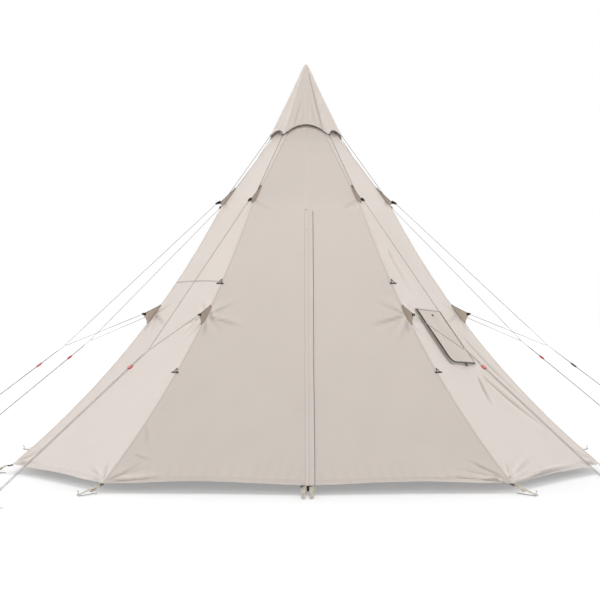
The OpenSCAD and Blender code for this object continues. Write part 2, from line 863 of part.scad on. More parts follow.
// The short loop that holds the buckle's inner bar to the hem
module hem_loop() {
    down_strap()
        translate([-loop_in, -strap_w / 2, buckle_t / 2 + gap])
            cube([buckle_in + loop_in + bar_w, strap_w, strap_t]);
}
module corner_straps() {
    color(webbing_c)
        at_straps() {
            corner_strap();
            hem_loop();
        }
}

module buckle() {
    inner_w = strap_w + 2;
    slot_l = (buckle_l - 3 * bar_w) / 2;
    down_strap()
        translate([buckle_in, 0, 0])
            difference() {
                translate([0, -buckle_w / 2, -buckle_t / 2]) cube([buckle_l, buckle_w, buckle_t]);
                for (x = [bar_w, 2 * bar_w + slot_l])
                    translate([x, -inner_w / 2, -buckle_t]) cube([slot_l, inner_w, 2 * buckle_t]);
            }
}
module strap_buckles() { color(black_c) at_straps() buckle(); }

// A peg that lies on the ground, its shaft towards the tent and its head upright
peg_hook_l = 9;
module peg() {
    translate([0, 0, peg_r]) {
        rotate([0, -90, 0]) cylinder(r = peg_r, h = peg_l);
        sphere(r = peg_r);
        cylinder(r = peg_r, h = peg_head_h);
        translate([0, 0, peg_head_h]) {
            sphere(r = peg_r);
            rotate([0, 60, 0]) cylinder(r = peg_r, h = peg_hook_l);
        }
    }
}
module strap_pegs() { color(steel_c) at_straps() translate([strap_reach, 0, 0]) union() peg(); }

// ---- guy lines ----
// Each line lies in the upright plane of its ridge: [distance from the pole, sideways, height]
FRONT_LINE = [[1907, 6, 851], [3462, 6, 17], [3470, 0, 13], [3462, -6, 17], [1959.2, -6, 823]];
SIDE_LINE = [[1786, 6, 850], [2932, 6, 18], [2940, 0, 13], [2932, -6, 18], [1838.3, -6, 812]];
REAR_LINE = [[1906, 6, 850], [3032, 6, 18], [3040, 0, 13], [3032, -6, 18], [1958.8, -6, 811]];

function is_face(i) = i == 1 || i == 4 || i == 6 || i == 9;
function line_route(i) = i == 1 || i == 9 ? FRONT_LINE : is_face(i) ? REAR_LINE : SIDE_LINE;
function join_s(i) = is_face(i) ? 1900 : 1780;
join_z = 855;

// The bridle runs from one gusset's ring, round the join ring and back to the other
function bridle_route(i) = [
    ring_far(i, true), [join_s(i) - 6, 0, join_z + 7], [join_s(i) - 8, 0, join_z - 3], ring_far(i, false)
];

// Each cap cord runs from a corner of the cap to the upper edge of a gusset
function cap_cord_route(i) =
    let (top = upper_gusset_z + gusset_h / 2)
    [
        [corner_reach(i) * cap_share - 3, 0, hem_gap + cap_corner_z + 2],
        [corner_reach(i) * share(top) + 47, 0, hem_gap + top - 36]
    ];
function line_end(i) = line_route(i)[2];
function line_slope(i) = atan((line_route(i)[0][2] - line_route(i)[1][2]) / (line_route(i)[1][0] - line_route(i)[0][0]));

function unit(v) = v / norm(v);
cord_sides = 8;

// Direction of a route at point k, halfway between its two stretches
function heading(p, k) =
    k == 0 ? unit(p[1] - p[0]) :
    k == len(p) - 1 ? unit(p[k] - p[k - 1]) :
    unit(unit(p[k] - p[k - 1]) + unit(p[k + 1] - p[k]));

// How much a section widens where the route bends
function widening(p, k) =
    k == 0 || k == len(p) - 1 ? 1 : min(1.6, 1 / (heading(p, k) * unit(p[k + 1] - p[k])));

// Corners of the section at point k; up is the direction that stays level with the ground
function section(p, k, r, up) =
    let (h = heading(p, k), side = unit(cross(h, up)), rise = cross(side, h), bend_side = widening(p, k))
    [for (a = [0:360 / cord_sides:359]) p[k] + r * (bend_side * cos(a) * side + sin(a) * rise)];

// A taut cord along its route; up is square to the plane in which the route bends
module cord(p, up) {
    n = len(p);
    points = [for (k = [0:n - 1]) for (c = section(p, k, cord_d / 2, up)) c];
    sides = [
        for (k = [0:n - 2]) for (s = [0:cord_sides - 1])
            let (t = (s + 1) % cord_sides)
            [k * cord_sides + s, k * cord_sides + t, (k + 1) * cord_sides + t, (k + 1) * cord_sides + s]
    ];
    first = [for (s = [cord_sides - 1:-1:0]) s];
    last = [for (s = [0:cord_sides - 1]) (n - 1) * cord_sides + s];
    polyhedron(points, concat([first], sides, [last]), convexity = 4);
}

module guy_line(i) {
    color(cord_c)
        rotate([0, 0, corner_turn(i)]) {
            cord(bridle_route(i), [0, 1, 0]);
            cord(line_route(i), [sin(line_slope(i)), 0, cos(line_slope(i))]);
        }
}
module guy_line_front_right() { guy_line(1); }
module guy_line_side_front_right() { guy_line(2); }
module guy_line_side_rear_right() { guy_line(3); }
module guy_line_rear_right() { guy_line(4); }
module guy_line_rear_left() { guy_line(6); }
module guy_line_side_rear_left() { guy_line(7); }
module guy_line_side_front_left() { guy_line(8); }
module guy_line_front_left() { guy_line(9); }

module cap_cords() {
    color(cord_c)
        for (i = RIDGES)
            rotate([0, 0, corner_turn(i)]) cord(cap_cord_route(i), [0, 1, 0]);
}

module guy_rings() {
    color(steel_c)
        for (i = RIDGES)
            rotate([0, 0, corner_turn(i)])
                translate([join_s(i), 0, join_z])
                    rotate([0, line_slope(i), 0])
                        translate([-join_ring_r, 0, 0])
                            link(join_ring_r, ring_wire_r);
}

// The peg's head stands just inside the end of the line's loop
loop_inset = 8.4;
module guy_pegs() {
    color(steel_c)
        for (i = RIDGES)
            rotate([0, 0, corner_turn(i)])
                translate([line_end(i)[0] - loop_inset, 0, 0])
                    union() peg();
}

strand_y = 6;
module tensioner(i) {
    color(red_c)
        rotate([0, 0, corner_turn(i)])
            translate(line_route(i)[0] - [0, strand_y, 0])
                rotate([0, line_slope(i), 0])
                    translate([tensioner_at, 0, 0])
                        difference() {
                            union() {
                                cube([tensioner_l - tensioner_w, tensioner_w, tensioner_t], center = true);
                                for (x = [-1, 1])
                                    translate([x * (tensioner_l - tensioner_w) / 2, 0, -tensioner_t / 2])
                                        cylinder(r = tensioner_w / 2, h = tensioner_t);
                            }
                            for (y = [-strand_y, strand_y])
                                translate([-tensioner_l, y, 0])
                                    rotate([0, 90, 0])
                                        cylinder(r = cord_d / 2 + gap, h = 2 * tensioner_l);
                        }
}
module tensioner_front_right() { tensioner(1); }
module tensioner_side_front_right() { tensioner(2); }
module tensioner_side_rear_right() { tensioner(3); }
module tensioner_rear_right() { tensioner(4); }
module tensioner_rear_left() { tensioner(6); }
module tensioner_side_rear_left() { tensioner(7); }
module tensioner_side_front_left() { tensioner(8); }
module tensioner_front_left() { tensioner(9); }

panel_rear();
panel_left_rear();
panel_left_side();
panel_left_front();
panel_right_front();
panel_right_side();
panel_right_rear();
panel_front_left();
panel_front_right();
door_left();
door_right();
zip_tape_left();
zip_tape_right();
zip_top();
zip_slider();
zip_pull();
storm_flap();
vent_cap();
cap_binding();
vent_mesh();
crown();
hem_webbing();
ridge_tapes();
upper_gussets();
lower_gussets();
gusset_rings();
toggle_left_upper();
toggle_left_lower();
toggle_right_upper();
toggle_right_lower();
stove_panel();
stove_cover();
stove_strap();
pole_lower();
pole_middle();
pole_upper();
pole_foot();
pole_head();
corner_straps();
strap_buckles();
strap_pegs();
guy_pegs();
guy_rings();
guy_line_front_right();
guy_line_side_front_right();
guy_line_side_rear_right();
guy_line_rear_right();
guy_line_rear_left();
guy_line_side_rear_left();
guy_line_side_front_left();
guy_line_front_left();
tensioner_front_right();
tensioner_side_front_right();
tensioner_side_rear_right();
tensioner_rear_right();
tensioner_rear_left();
tensioner_side_rear_left();
tensioner_side_front_left();
tensioner_front_left();
cap_cords();
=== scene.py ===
"""Teepee tent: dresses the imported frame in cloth, webbing, cord and metal."""

import json
import logging
import math
from dataclasses import dataclass, field
from enum import Enum
from typing import Callable, ClassVar, Optional, Sequence

import bpy
import numpy as np
from mathutils import Matrix, Vector


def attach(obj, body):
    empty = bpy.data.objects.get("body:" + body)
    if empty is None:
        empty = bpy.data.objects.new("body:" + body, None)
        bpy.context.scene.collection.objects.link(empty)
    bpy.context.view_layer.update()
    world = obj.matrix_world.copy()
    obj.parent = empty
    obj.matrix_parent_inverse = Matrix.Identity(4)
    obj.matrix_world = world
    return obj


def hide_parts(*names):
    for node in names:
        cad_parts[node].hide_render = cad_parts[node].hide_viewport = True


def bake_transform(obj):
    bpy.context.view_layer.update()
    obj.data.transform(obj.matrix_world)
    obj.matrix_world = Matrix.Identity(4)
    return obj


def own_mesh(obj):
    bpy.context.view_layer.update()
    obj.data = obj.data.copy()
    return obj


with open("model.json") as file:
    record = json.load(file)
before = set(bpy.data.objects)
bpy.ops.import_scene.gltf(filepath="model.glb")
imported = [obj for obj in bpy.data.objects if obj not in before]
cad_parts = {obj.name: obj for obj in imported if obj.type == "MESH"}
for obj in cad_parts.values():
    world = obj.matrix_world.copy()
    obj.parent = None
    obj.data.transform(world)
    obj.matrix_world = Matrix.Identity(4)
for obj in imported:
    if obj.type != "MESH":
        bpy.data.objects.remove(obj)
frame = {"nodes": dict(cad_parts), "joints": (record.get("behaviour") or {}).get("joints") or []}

LOG = logging.getLogger("teepee_tent")
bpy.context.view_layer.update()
Point = tuple[float, float, float]
Pair = tuple[float, float]
Colour = tuple[float, float, float]
Numbers = np.ndarray | float
Piece = bpy.types.Object
Socket = bpy.types.NodeSocket


class Side(Enum):
    """A side of the door, with the sign of its X."""

    LEFT = -1
    RIGHT = 1


class Level(Enum):
    """The two rows of gussets on the ridges."""

    UPPER = "upper"
    LOWER = "lower"


# ---- modelling tools


def smooth_step(low: float, high: float, value: np.ndarray) -> np.ndarray:
    """Eases from 0 at low to 1 at high.

    Args:
        low: where the result is still 0.
        high: where it has reached 1.
        value: the numbers to ease.

    Returns:
        The eased numbers, from 0 to 1.
    """
    t = np.clip((value - low) / (high - low), 0.0, 1.0)
    return t * t * (3.0 - 2.0 * t)


def lone(piece: Piece) -> None:
    """Deselects everything, then selects and activates one piece."""
    bpy.ops.object.select_all(action="DESELECT")
    piece.select_set(True)
    bpy.context.view_layer.objects.active = piece


def settle(piece: Piece) -> Piece:
    """Puts a piece's place, turn and scale into its mesh."""
    lone(piece)
    bpy.ops.object.transform_apply(location=True, rotation=True, scale=True)
    return piece


def finish_modifiers(piece: Piece) -> Piece:
    """Applies every modifier of a piece, in order."""
    lone(piece)
    for name in [m.name for m in piece.modifiers]:
        bpy.ops.object.modifier_apply(modifier=name)
    return piece


def join(name: str, parts: Sequence[Piece]) -> Piece:
    """Joins several meshes into one named piece.

    Args:
        name: the joined piece's name.
        parts: the meshes; the first one keeps its materials' order.

    Returns:
        The joined piece.
    """
    lone(parts[0])
    for part in parts[1:]:
        part.select_set(True)
    bpy.ops.object.join()
    whole = bpy.context.view_layer.objects.active
    whole.name = name
    return whole


def pick_faces(piece: Piece, test: Callable[[bpy.types.MeshPolygon], bool]) -> None:
    """Selects just the faces of a piece that pass a test, and goes into edit mode.

    Args:
        piece: the piece.
        test: says whether a face is picked.
    """
    lone(piece)
    mesh = piece.data
    for elements in (mesh.vertices, mesh.edges, mesh.polygons):
        elements.foreach_set("select", np.zeros(len(elements), dtype=bool))
    for polygon in mesh.polygons:
        polygon.select = test(polygon)
    bpy.ops.object.mode_set(mode="EDIT")
    bpy.ops.mesh.select_mode(type="FACE")


def fold_depths(points: np.ndarray) -> np.ndarray:
    """How deep each point of a net lies in a fold, below the cloth round it.

    Args:
        points: rows by columns by three, in metres.

    Returns:
        The depths in metres; a crest's is negative.
    """
    out = np.cross(np.gradient(points, axis=1), np.gradient(points, axis=0))
    out = out / (np.linalg.norm(out, axis=2, keepdims=True) + 1e-12)
    calm = points.copy()
    for _ in range(8):
        calm[1:-1, 1:-1] = (calm[:-2, 1:-1] + calm[2:, 1:-1] + calm[1:-1, :-2] + calm[1:-1, 2:]) / 4
    return np.sum((calm - points) * out, axis=2)


def cloth_grid(
    name: str,
    points: np.ndarray,
    lay: np.ndarray,
    wall: float,
    closed: bool = False,
    window: Optional[Callable[[Vector], bool]] = None,
) -> Piece:
    """A sheet of cloth through a net of points.

    Args:
        name: the piece's name.
        points: rows by columns by three, in metres; columns run anticlockwise and rows run up.
        lay: rows by columns by two, the cloth's own coordinates in metres.
        wall: the cloth's thickness, laid inwards.
        closed: whether its ends meet, or a row shrinks to one point, so they are sewn together.
        window: says which faces are cut out, by the face's middle.

    Returns:
        The closed sheet.
    """
    rows, cols = points.shape[:2]
    bpy.ops.object.select_all(action="DESELECT")
    bpy.ops.mesh.primitive_grid_add(x_subdivisions=cols - 1, y_subdivisions=rows - 1, size=2.0)
    sheet = bpy.context.object
    sheet.name = name
    mesh = sheet.data
    mesh.vertices.foreach_set("co", points.reshape(-1).astype(np.float32))
    corner = np.empty(len(mesh.loops), dtype=np.int32)
    mesh.loops.foreach_get("vertex_index", corner)
    mesh.uv_layers[0].name = "lay"
    mesh.uv_layers[0].data.foreach_set("uv", lay.reshape(-1, 2)[corner].reshape(-1).astype(np.float32))
    # the fold depths drive the cloth finishes' painted shade in folds and painted highlight on crests
    fold = mesh.attributes.new("fold", "FLOAT", "POINT")
    fold.data.foreach_set("value", fold_depths(points).reshape(-1).astype(np.float32))
    mesh.update()
    if closed or window is not None:
        pick_faces(sheet, lambda polygon: window is not None and window(polygon.center))
        if window is not None:
            bpy.ops.mesh.delete(type="FACE")
        if closed:
            bpy.ops.mesh.select_all(action="SELECT")
            bpy.ops.mesh.remove_doubles(threshold=1e-6)
        bpy.ops.object.mode_set(mode="OBJECT")
    solid = sheet.modifiers.new("wall", "SOLIDIFY")
    solid.thickness, solid.offset = wall, -1.0
    solid.use_even_offset = False
    return smooth(finish_modifiers(sheet), 50)


def smooth(piece: Piece, angle: float) -> Piece:
    """Shades a piece smooth, with edges sharper than an angle in degrees left sharp."""
    lone(piece)
    bpy.ops.object.shade_smooth_by_angle(angle=math.radians(angle))
    return piece


def strip_lay(across: np.ndarray, along: np.ndarray) -> np.ndarray:
    """A strip's own coordinates: the way across it, and the way along it row by row."""
    return np.stack(np.broadcast_arrays(across, along[:, None]), axis=-1)


def ribbon(
    name: str, centre: Sequence[Point], side: Point | Sequence[Point], half_w: Numbers, wall: float,
    round_off: float = 0.0,
) -> Piece:
    """A flat strap that follows a centre line.

    Args:
        name: the piece's name.
        centre: the points of its outer face's centre line.
        side: the direction of its width, one for all or one for each point.
        half_w: half its width, one for all or one for each point.
        wall: its thickness, laid inwards.
        round_off: how far its long edges turn down.

    Returns:
        The strap.
    """
    line = np.array(centre, float)
    wide = np.broadcast_to(np.array(side, float), line.shape)
    wide = wide / np.linalg.norm(wide, axis=1)[:, None]
    along = np.gradient(line, axis=0)
    out = np.cross(wide, along)
    out = out / np.linalg.norm(out, axis=1)[:, None]
    half = np.broadcast_to(np.asarray(half_w, float), (len(line),))
    share = np.array([-1.0, -0.86, -0.4, 0.0, 0.4, 0.86, 1.0])
    fall = np.array([1.0, 0.15, 0.0, 0.0, 0.0, 0.15, 1.0]) * round_off
    net = (
        line[:, None, :]
        + wide[:, None, :] * (half[:, None] * share)[..., None]
        - out[:, None, :] * fall[None, :, None]
    )
    way = np.concatenate([[0], np.cumsum(np.linalg.norm(np.diff(line, axis=0), axis=1))])
    return cloth_grid(name, net, strip_lay(half[:, None] * share, way), wall)


def rimmed(piece: Piece, width: float) -> Piece:
    """Rounds the sharp edges of a small hard part and shades it smooth."""
    bevel = piece.modifiers.new("rim", "BEVEL")
    bevel.width, bevel.segments, bevel.limit_method = width, 2, "ANGLE"
    return smooth(finish_modifiers(piece), 40)


def turned_bar(name: str, radius: float, length: float, flare: float, waist: float) -> Piece:
    """A small barrel on the X axis, with flared ends and a waist, shaped from a cylinder.

    Args:
        name: the piece's name.
        radius: its radius at the ends.
        length: its length.
        flare: how far in from its ends the flare reaches.
        waist: the share of the radius left at its middle.

    Returns:
        The barrel, at the origin.
    """
    bpy.ops.object.select_all(action="DESELECT")
    bpy.ops.mesh.primitive_cylinder_add(
        vertices=24, radius=radius, depth=length, rotation=(0, math.pi / 2, 0),
    )
    bar = settle(bpy.context.object)
    bar.name = name
    bpy.ops.object.mode_set(mode="EDIT")
    for cut in (-0.5 * length + flare, -0.12 * length, 0.0, 0.12 * length, 0.5 * length - flare):
        bpy.ops.mesh.select_all(action="SELECT")
        bpy.ops.mesh.bisect(plane_co=(cut, 0, 0), plane_no=(1, 0, 0))
    bpy.ops.object.mode_set(mode="OBJECT")
    for vertex in bar.data.vertices:
        x = abs(vertex.co.x)
        grow = waist + (1 - waist) * min(1.0, (2 * x / length) ** 3)
        vertex.co.y *= grow
        vertex.co.z *= grow
    return rimmed(bar, radius * 0.25)


def stud(name: str, radius: float, height: float) -> Piece:
    """A press stud facing up the Z axis: a domed cap with a rim, shaped from a cylinder.

    Args:
        name: the piece's name.
        radius: its radius.
        height: its height.

    Returns:
        The stud, standing on the origin.
    """
    bpy.ops.object.select_all(action="DESELECT")
    bpy.ops.mesh.primitive_cylinder_add(
        vertices=28, radius=radius, depth=height, location=(0, 0, height / 2),
    )
    cap = settle(bpy.context.object)
    cap.name = name
    pick_faces(cap, lambda polygon: polygon.normal.z > 0.9)
    bpy.ops.mesh.inset(thickness=radius * 0.22, depth=0.0)
    bpy.ops.mesh.inset(thickness=radius * 0.08, depth=-height * 0.35)
    bpy.ops.mesh.inset(thickness=radius * 0.25, depth=height * 0.5)
    bpy.ops.object.mode_set(mode="OBJECT")
    return rimmed(cap, height * 0.15)


def placed(piece: Piece, matrix: Matrix) -> Piece:
    """Moves a piece's mesh by a matrix, and leaves the object at the origin."""
    piece.data.transform(matrix)
    piece.data.update()
    return piece


def copy_of(piece: Piece, name: str) -> Piece:
    """A copy of a piece with its own mesh."""
    twin = piece.copy()
    twin.data = piece.data.copy()
    twin.name = name
    bpy.context.scene.collection.objects.link(twin)
    return twin


def tube(name: str, route: Sequence[Point], radius: float) -> Piece:
    """A round cord as a curve of one spline.

    Args:
        name: the piece's name.
        route: the points of its centre line, in metres.
        radius: the cord's radius.

    Returns:
        The curve.
    """
    curve = bpy.data.curves.new(name, "CURVE")
    curve.dimensions = "3D"
    curve.bevel_depth = radius
    curve.bevel_resolution = 3
    curve.use_fill_caps = True
    spline = curve.splines.new("POLY")
    spline.points.add(len(route) - 1)
    for point, place in zip(spline.points, route):
        point.co = (*place, 1.0)
    spline.use_smooth = True
    piece = bpy.data.objects.new(name, curve)
    bpy.context.scene.collection.objects.link(piece)
    return piece


def tube_mesh(name: str, route: Sequence[Point], radius: float, ring: Sequence[float] = ()) -> Piece:
    """The same cord as a mesh.

    Args:
        name: the piece's name.
        route: the points of its centre line, in metres.
        radius: its radius.
        ring: for a cord whose ends meet, how thick it is at each point, as a share of the radius.

    Returns:
        The cord.
    """
    piece = tube(name, route, radius)
    spline = piece.data.splines[0]
    spline.use_cyclic_u = len(ring) > 0
    for point, thick in zip(spline.points, ring):
        point.radius = thick
    lone(piece)
    bpy.ops.object.convert(target="MESH")
    return bpy.context.object


def rounded_route(corners: Sequence[Point], bend: float, step: float = 0.06) -> list[Point]:
    """A route with its corners rounded off.

    Args:
        corners: the route's corners.
        bend: how far from a corner its curve starts.
        step: the longest stretch left between two points.

    Returns:
        The points of the rounded route.
    """
    spots = [Vector(c) for c in corners]
    route = [spots[0]]
    for before, here, after in zip(spots, spots[1:], spots[2:]):
        near = min(bend, (here - before).length / 2, (after - here).length / 2)
        a = here + (before - here).normalized() * near
        b = here + (after - here).normalized() * near
        for k in range(5):
            t = k / 4
            route.append(a * (1 - t) ** 2 + here * 2 * t * (1 - t) + b * t**2)
    route.append(spots[-1])
    fine = [route[0]]
    for a, b in zip(route, route[1:]):
        cuts = max(1, math.ceil((b - a).length / step))
        fine += [a.lerp(b, (k + 1) / cuts) for k in range(cuts)]
    return [tuple(p) for p in fine]


# ---- the tent's shape


@dataclass(frozen=True)
class TentForm:
    """The canopy's main shape: a ten-cornered plan that shrinks as it climbs a flared profile.

    Heights are counted from the hem, and every size is in metres.
    """

    hem_gap: float = 0.06
    face_half_w: float = 1.233
    corner_depth: float = 2.034
    centre_depth: float = 2.145
    side_depth: float = 1.970
    side_half_w: float = 0.838
    shoulder_z: float = 1.750
    shoulder_r: float = 0.655
    shoulder_band: float = 0.2
    flare_radius: float = 5.8
    upper_slope: float = 0.79
    table_span: Pair = (-0.1, 2.62)
    table_step: float = 0.005

    @property
    def plan(self) -> np.ndarray:
        """The plan's corners, anticlockwise from the front centre."""
        half = [
            (self.face_half_w, -self.corner_depth),
            (self.side_depth, -self.side_half_w),
            (self.side_depth, self.side_half_w),
            (self.face_half_w, self.corner_depth),
        ]
        mirror = [(-x, y) for x, y in reversed(half)]
        return np.array([(0, -self.centre_depth), *half, (0, self.centre_depth), *mirror])

    @property
    def ridges(self) -> list[int]:
        """The plan corners that are ridges."""
        return [1, 2, 3, 4, 6, 7, 8, 9]

    def profile(self) -> tuple[np.ndarray, np.ndarray]:
        """Heights, and the front centre line's distance from the pole at each."""
        run, rise = self.centre_depth - self.shoulder_r, self.shoulder_z
        chord = math.hypot(run, rise)
        reach = math.sqrt(self.flare_radius**2 - (chord / 2) ** 2)
        cx = (self.centre_depth + self.shoulder_r) / 2 + reach * rise / chord
        cz = rise / 2 + reach * run / chord
        z = np.arange(*self.table_span, self.table_step)
        skirt = cx - np.sqrt(self.flare_radius**2 - (cz - z) ** 2)
        cone = self.shoulder_r - self.upper_slope * (z - self.shoulder_z)
        r = np.where(z < self.shoulder_z, skirt, cone)
        eased = np.convolve(r, np.ones(13) / 13, mode="same")
        near = np.abs(z - self.shoulder_z) < self.shoulder_band
        return z, np.where(near, eased, r)

    def __post_init__(self) -> None:
        """Works out the profile's table once."""
        z, r = self.profile()
        slope = np.concatenate([[0], np.cumsum(np.hypot(np.diff(z), np.diff(r)))])
        object.__setattr__(self, "_z", z)
        object.__setattr__(self, "_r", r)
        object.__setattr__(self, "_run", slope)

    def share(self, z: Numbers) -> Numbers:
        """How large the plan is at a height, as a share of the hem's plan."""
        return np.interp(z, self._z, self._r) / self.centre_depth

    def run(self, z: Numbers) -> Numbers:
        """The way up the slope to a height, in metres of cloth."""
        return np.interp(z, self._z, self._run)

    def taper(self, z: Numbers, step: float) -> Numbers:
        """How fast the plan's share falls with height, over a step down and a step up."""
        return (self.share(z - step) - self.share(z + step)) / (2 * step)

    def edge(self, i: int) -> tuple[np.ndarray, np.ndarray]:
        """The two plan corners of facet i."""
        plan = self.plan
        return plan[i % 10], plan[(i + 1) % 10]

    def width(self, i: int, z: Numbers) -> Numbers:
        """How wide facet i is at each height."""
        a, b = self.edge(i)
        return float(np.linalg.norm(b - a)) * self.share(z)

    def turn(self, i: int) -> float:
        """The direction that facet i faces, in radians."""
        a, b = self.edge(i)
        return math.atan2(a[0] - b[0], b[1] - a[1])

    def tilt(self, reach: float, z: float) -> float:
        """How far a line that climbs the canopy leans in at a height, in radians."""
        return math.atan(reach * self.taper(z, 0.05))

    def reach(self, i: int) -> float:
        """The distance of plan corner i from the pole."""
        return float(np.linalg.norm(self.plan[i % 10]))

    def ridge_out(self, i: int, z: float) -> float:
        """The distance of ridge i from the pole at a height."""
        return self.reach(i) * self.share(z)

    def ridge_point(self, i: int, z: float) -> np.ndarray:
        """The point of ridge i at a height, in metres above the ground."""
        return np.array([*(self.plan[i % 10] * self.share(z)), z + self.hem_gap])

    def away(self, i: int) -> np.ndarray:
        """The level direction from the pole out to ridge i."""
        return np.array([*self.plan[i % 10] / self.reach(i), 0.0])

    def on_ridge(self, i: int, z: float) -> Matrix:
        """A frame on ridge i: X out of it, Z up along it.

        Args:
            i: the ridge.
            z: the height above the hem.

        Returns:
            The frame.
        """
        corner = self.plan[i % 10]
        spot = Matrix.Translation((self.ridge_out(i, z), 0, self.hem_gap + z))
        spin = Matrix.Rotation(math.atan2(corner[1], corner[0]), 4, "Z")
        return spin @ spot @ Matrix.Rotation(-self.tilt(self.reach(i), z), 4, "Y")

    def outward(self, i: int, z: np.ndarray) -> np.ndarray:
        """The direction square to facet i at each height, out of the tent."""
        a, b = self.edge(i)
        along = (b - a) / np.linalg.norm(b - a)
        flat = np.array([along[1], -along[0]])
        fall = float(a @ flat) * self.taper(z, 0.02)
        size = np.sqrt(1 + fall**2)
        return np.stack([flat[0] / size, flat[1] / size, fall / size], axis=-1)

    def on_facet(self, i: int, u: np.ndarray, z: np.ndarray, lift: Numbers = 0.0) -> np.ndarray:
        """Points of facet i.

        Args:
            i: the facet.
            u: the way across it, from 0 at its first ridge to 1 at the next.
            z: the height above the hem.
            lift: how far each point stands out of the facet.

        Returns:
            The points, in metres above the ground.
        """
        a, b = self.edge(i)
        part = np.asarray(u)[..., None]
        flat = self.share(z)[..., None] * (a * (1 - part) + b * part)
        base = np.concatenate([flat, (z + self.hem_gap)[..., None]], axis=-1)
        return base + self.outward(i, z) * np.asarray(lift)[..., None]

    def lay(self, i: int, u: np.ndarray, z: np.ndarray) -> np.ndarray:
        """The cloth's own coordinates on facet i: across and up, in metres."""
        a, b = self.edge(i)
        along = (b - a) / np.linalg.norm(b - a)
        across = self.share(z) * ((a @ along) * (1 - u) + (b @ along) * u)
        return np.stack([across + 7.0 * i, self.run(z)], axis=-1)


@dataclass(frozen=True)
class GussetRow:
    """One of the two rows of gussets. Heights are counted from the hem.

    Args:
        middle: the height of a gusset's middle.
        pull_z: the height that the folds beside it run to.
        foot_z: the height of the ridge point that its tip's reach is counted from.
        tip_z: the height of its tip.
        out: how far its tip stands out.
        slim: the share of that reach which its fin of cloth fills.
        tip_lean: how steeply the webbing on its tip climbs back into the cloth.
        tip_long: the length of that webbing.
        ring_up: how far above the tip its ring sits.
        ring_deg: how steeply the ring hangs, in degrees.
    """

    middle: float
    pull_z: float
    foot_z: float
    tip_z: float
    out: float
    slim: float
    tip_lean: float
    tip_long: float
    ring_up: float
    ring_deg: float

    def tip_out(self, form: TentForm, i: int) -> float:
        """The distance from the pole to the tip of the gusset on ridge i."""
        return form.ridge_out(i, self.foot_z) + self.out


GUSSET_ROWS = {
    Level.UPPER: GussetRow(
        middle=1.830, pull_z=1.790, foot_z=1.770, tip_z=1.778, out=0.052, slim=0.62,
        tip_lean=0.42, tip_long=0.040, ring_up=0.0035, ring_deg=40.0,
    ),
    Level.LOWER: GussetRow(
        middle=1.003, pull_z=1.003, foot_z=1.003, tip_z=1.003, out=0.088, slim=0.96,
        tip_lean=0.0, tip_long=0.026, ring_up=0.0, ring_deg=21.0,
    ),
}


@dataclass(frozen=True)
class Crease:
    """A fold in a facet, pulled from one point towards another.

    Args:
        start: the way across the facet and the height of its sharp end.
        end: the same for the end where it dies away.
        width: its half width in metres.
        depth: its depth in metres; a negative one stands out.
    """

    start: Pair
    end: Pair
    width: float
    depth: float


PULLED_FOLDS: dict[int, tuple[Crease, ...]] = {
    0: (
        Crease((0.99, 0.006), (0.66, 0.040), 0.012, 0.0130),
        Crease((0.985, 0.020), (0.76, 0.085), 0.011, 0.0110),
        Crease((0.975, 0.045), (0.84, 0.140), 0.012, 0.0095),
        Crease((0.94, 0.018), (0.45, 0.022), 0.010, 0.0070),
    ),
    1: (
        Crease((0.03, 0.004), (0.88, 0.020), 0.014, 0.0170),
        Crease((0.0, 0.02), (0.45, 0.11), 0.02, 0.0090),
        Crease((0.56, 0.590), (0.44, 0.400), 0.018, 0.0120),
        Crease((0.64, 0.600), (0.86, 0.230), 0.022, 0.0170),
        Crease((0.29, 1.450), (0.31, 1.120), 0.030, 0.0080),
        Crease((0.80, 0.850), (0.93, 0.400), 0.020, 0.0110),
    ),
    8: (
        Crease((0.98, 0.02), (0.72, 0.075), 0.016, 0.0100),
        Crease((0.93, 1.03), (0.78, 0.86), 0.016, 0.0080),
    ),
    9: (
        Crease((0.02, 0.32), (0.10, 0.21), 0.012, 0.0045),
        Crease((0.06, 0.16), (0.19, 0.118), 0.012, 0.0060),
        Crease((0.02, 0.02), (0.28, 0.030), 0.012, 0.0100),
        Crease((0.0, 1.052), (0.12, 0.930), 0.014, 0.0090),
    ),
}


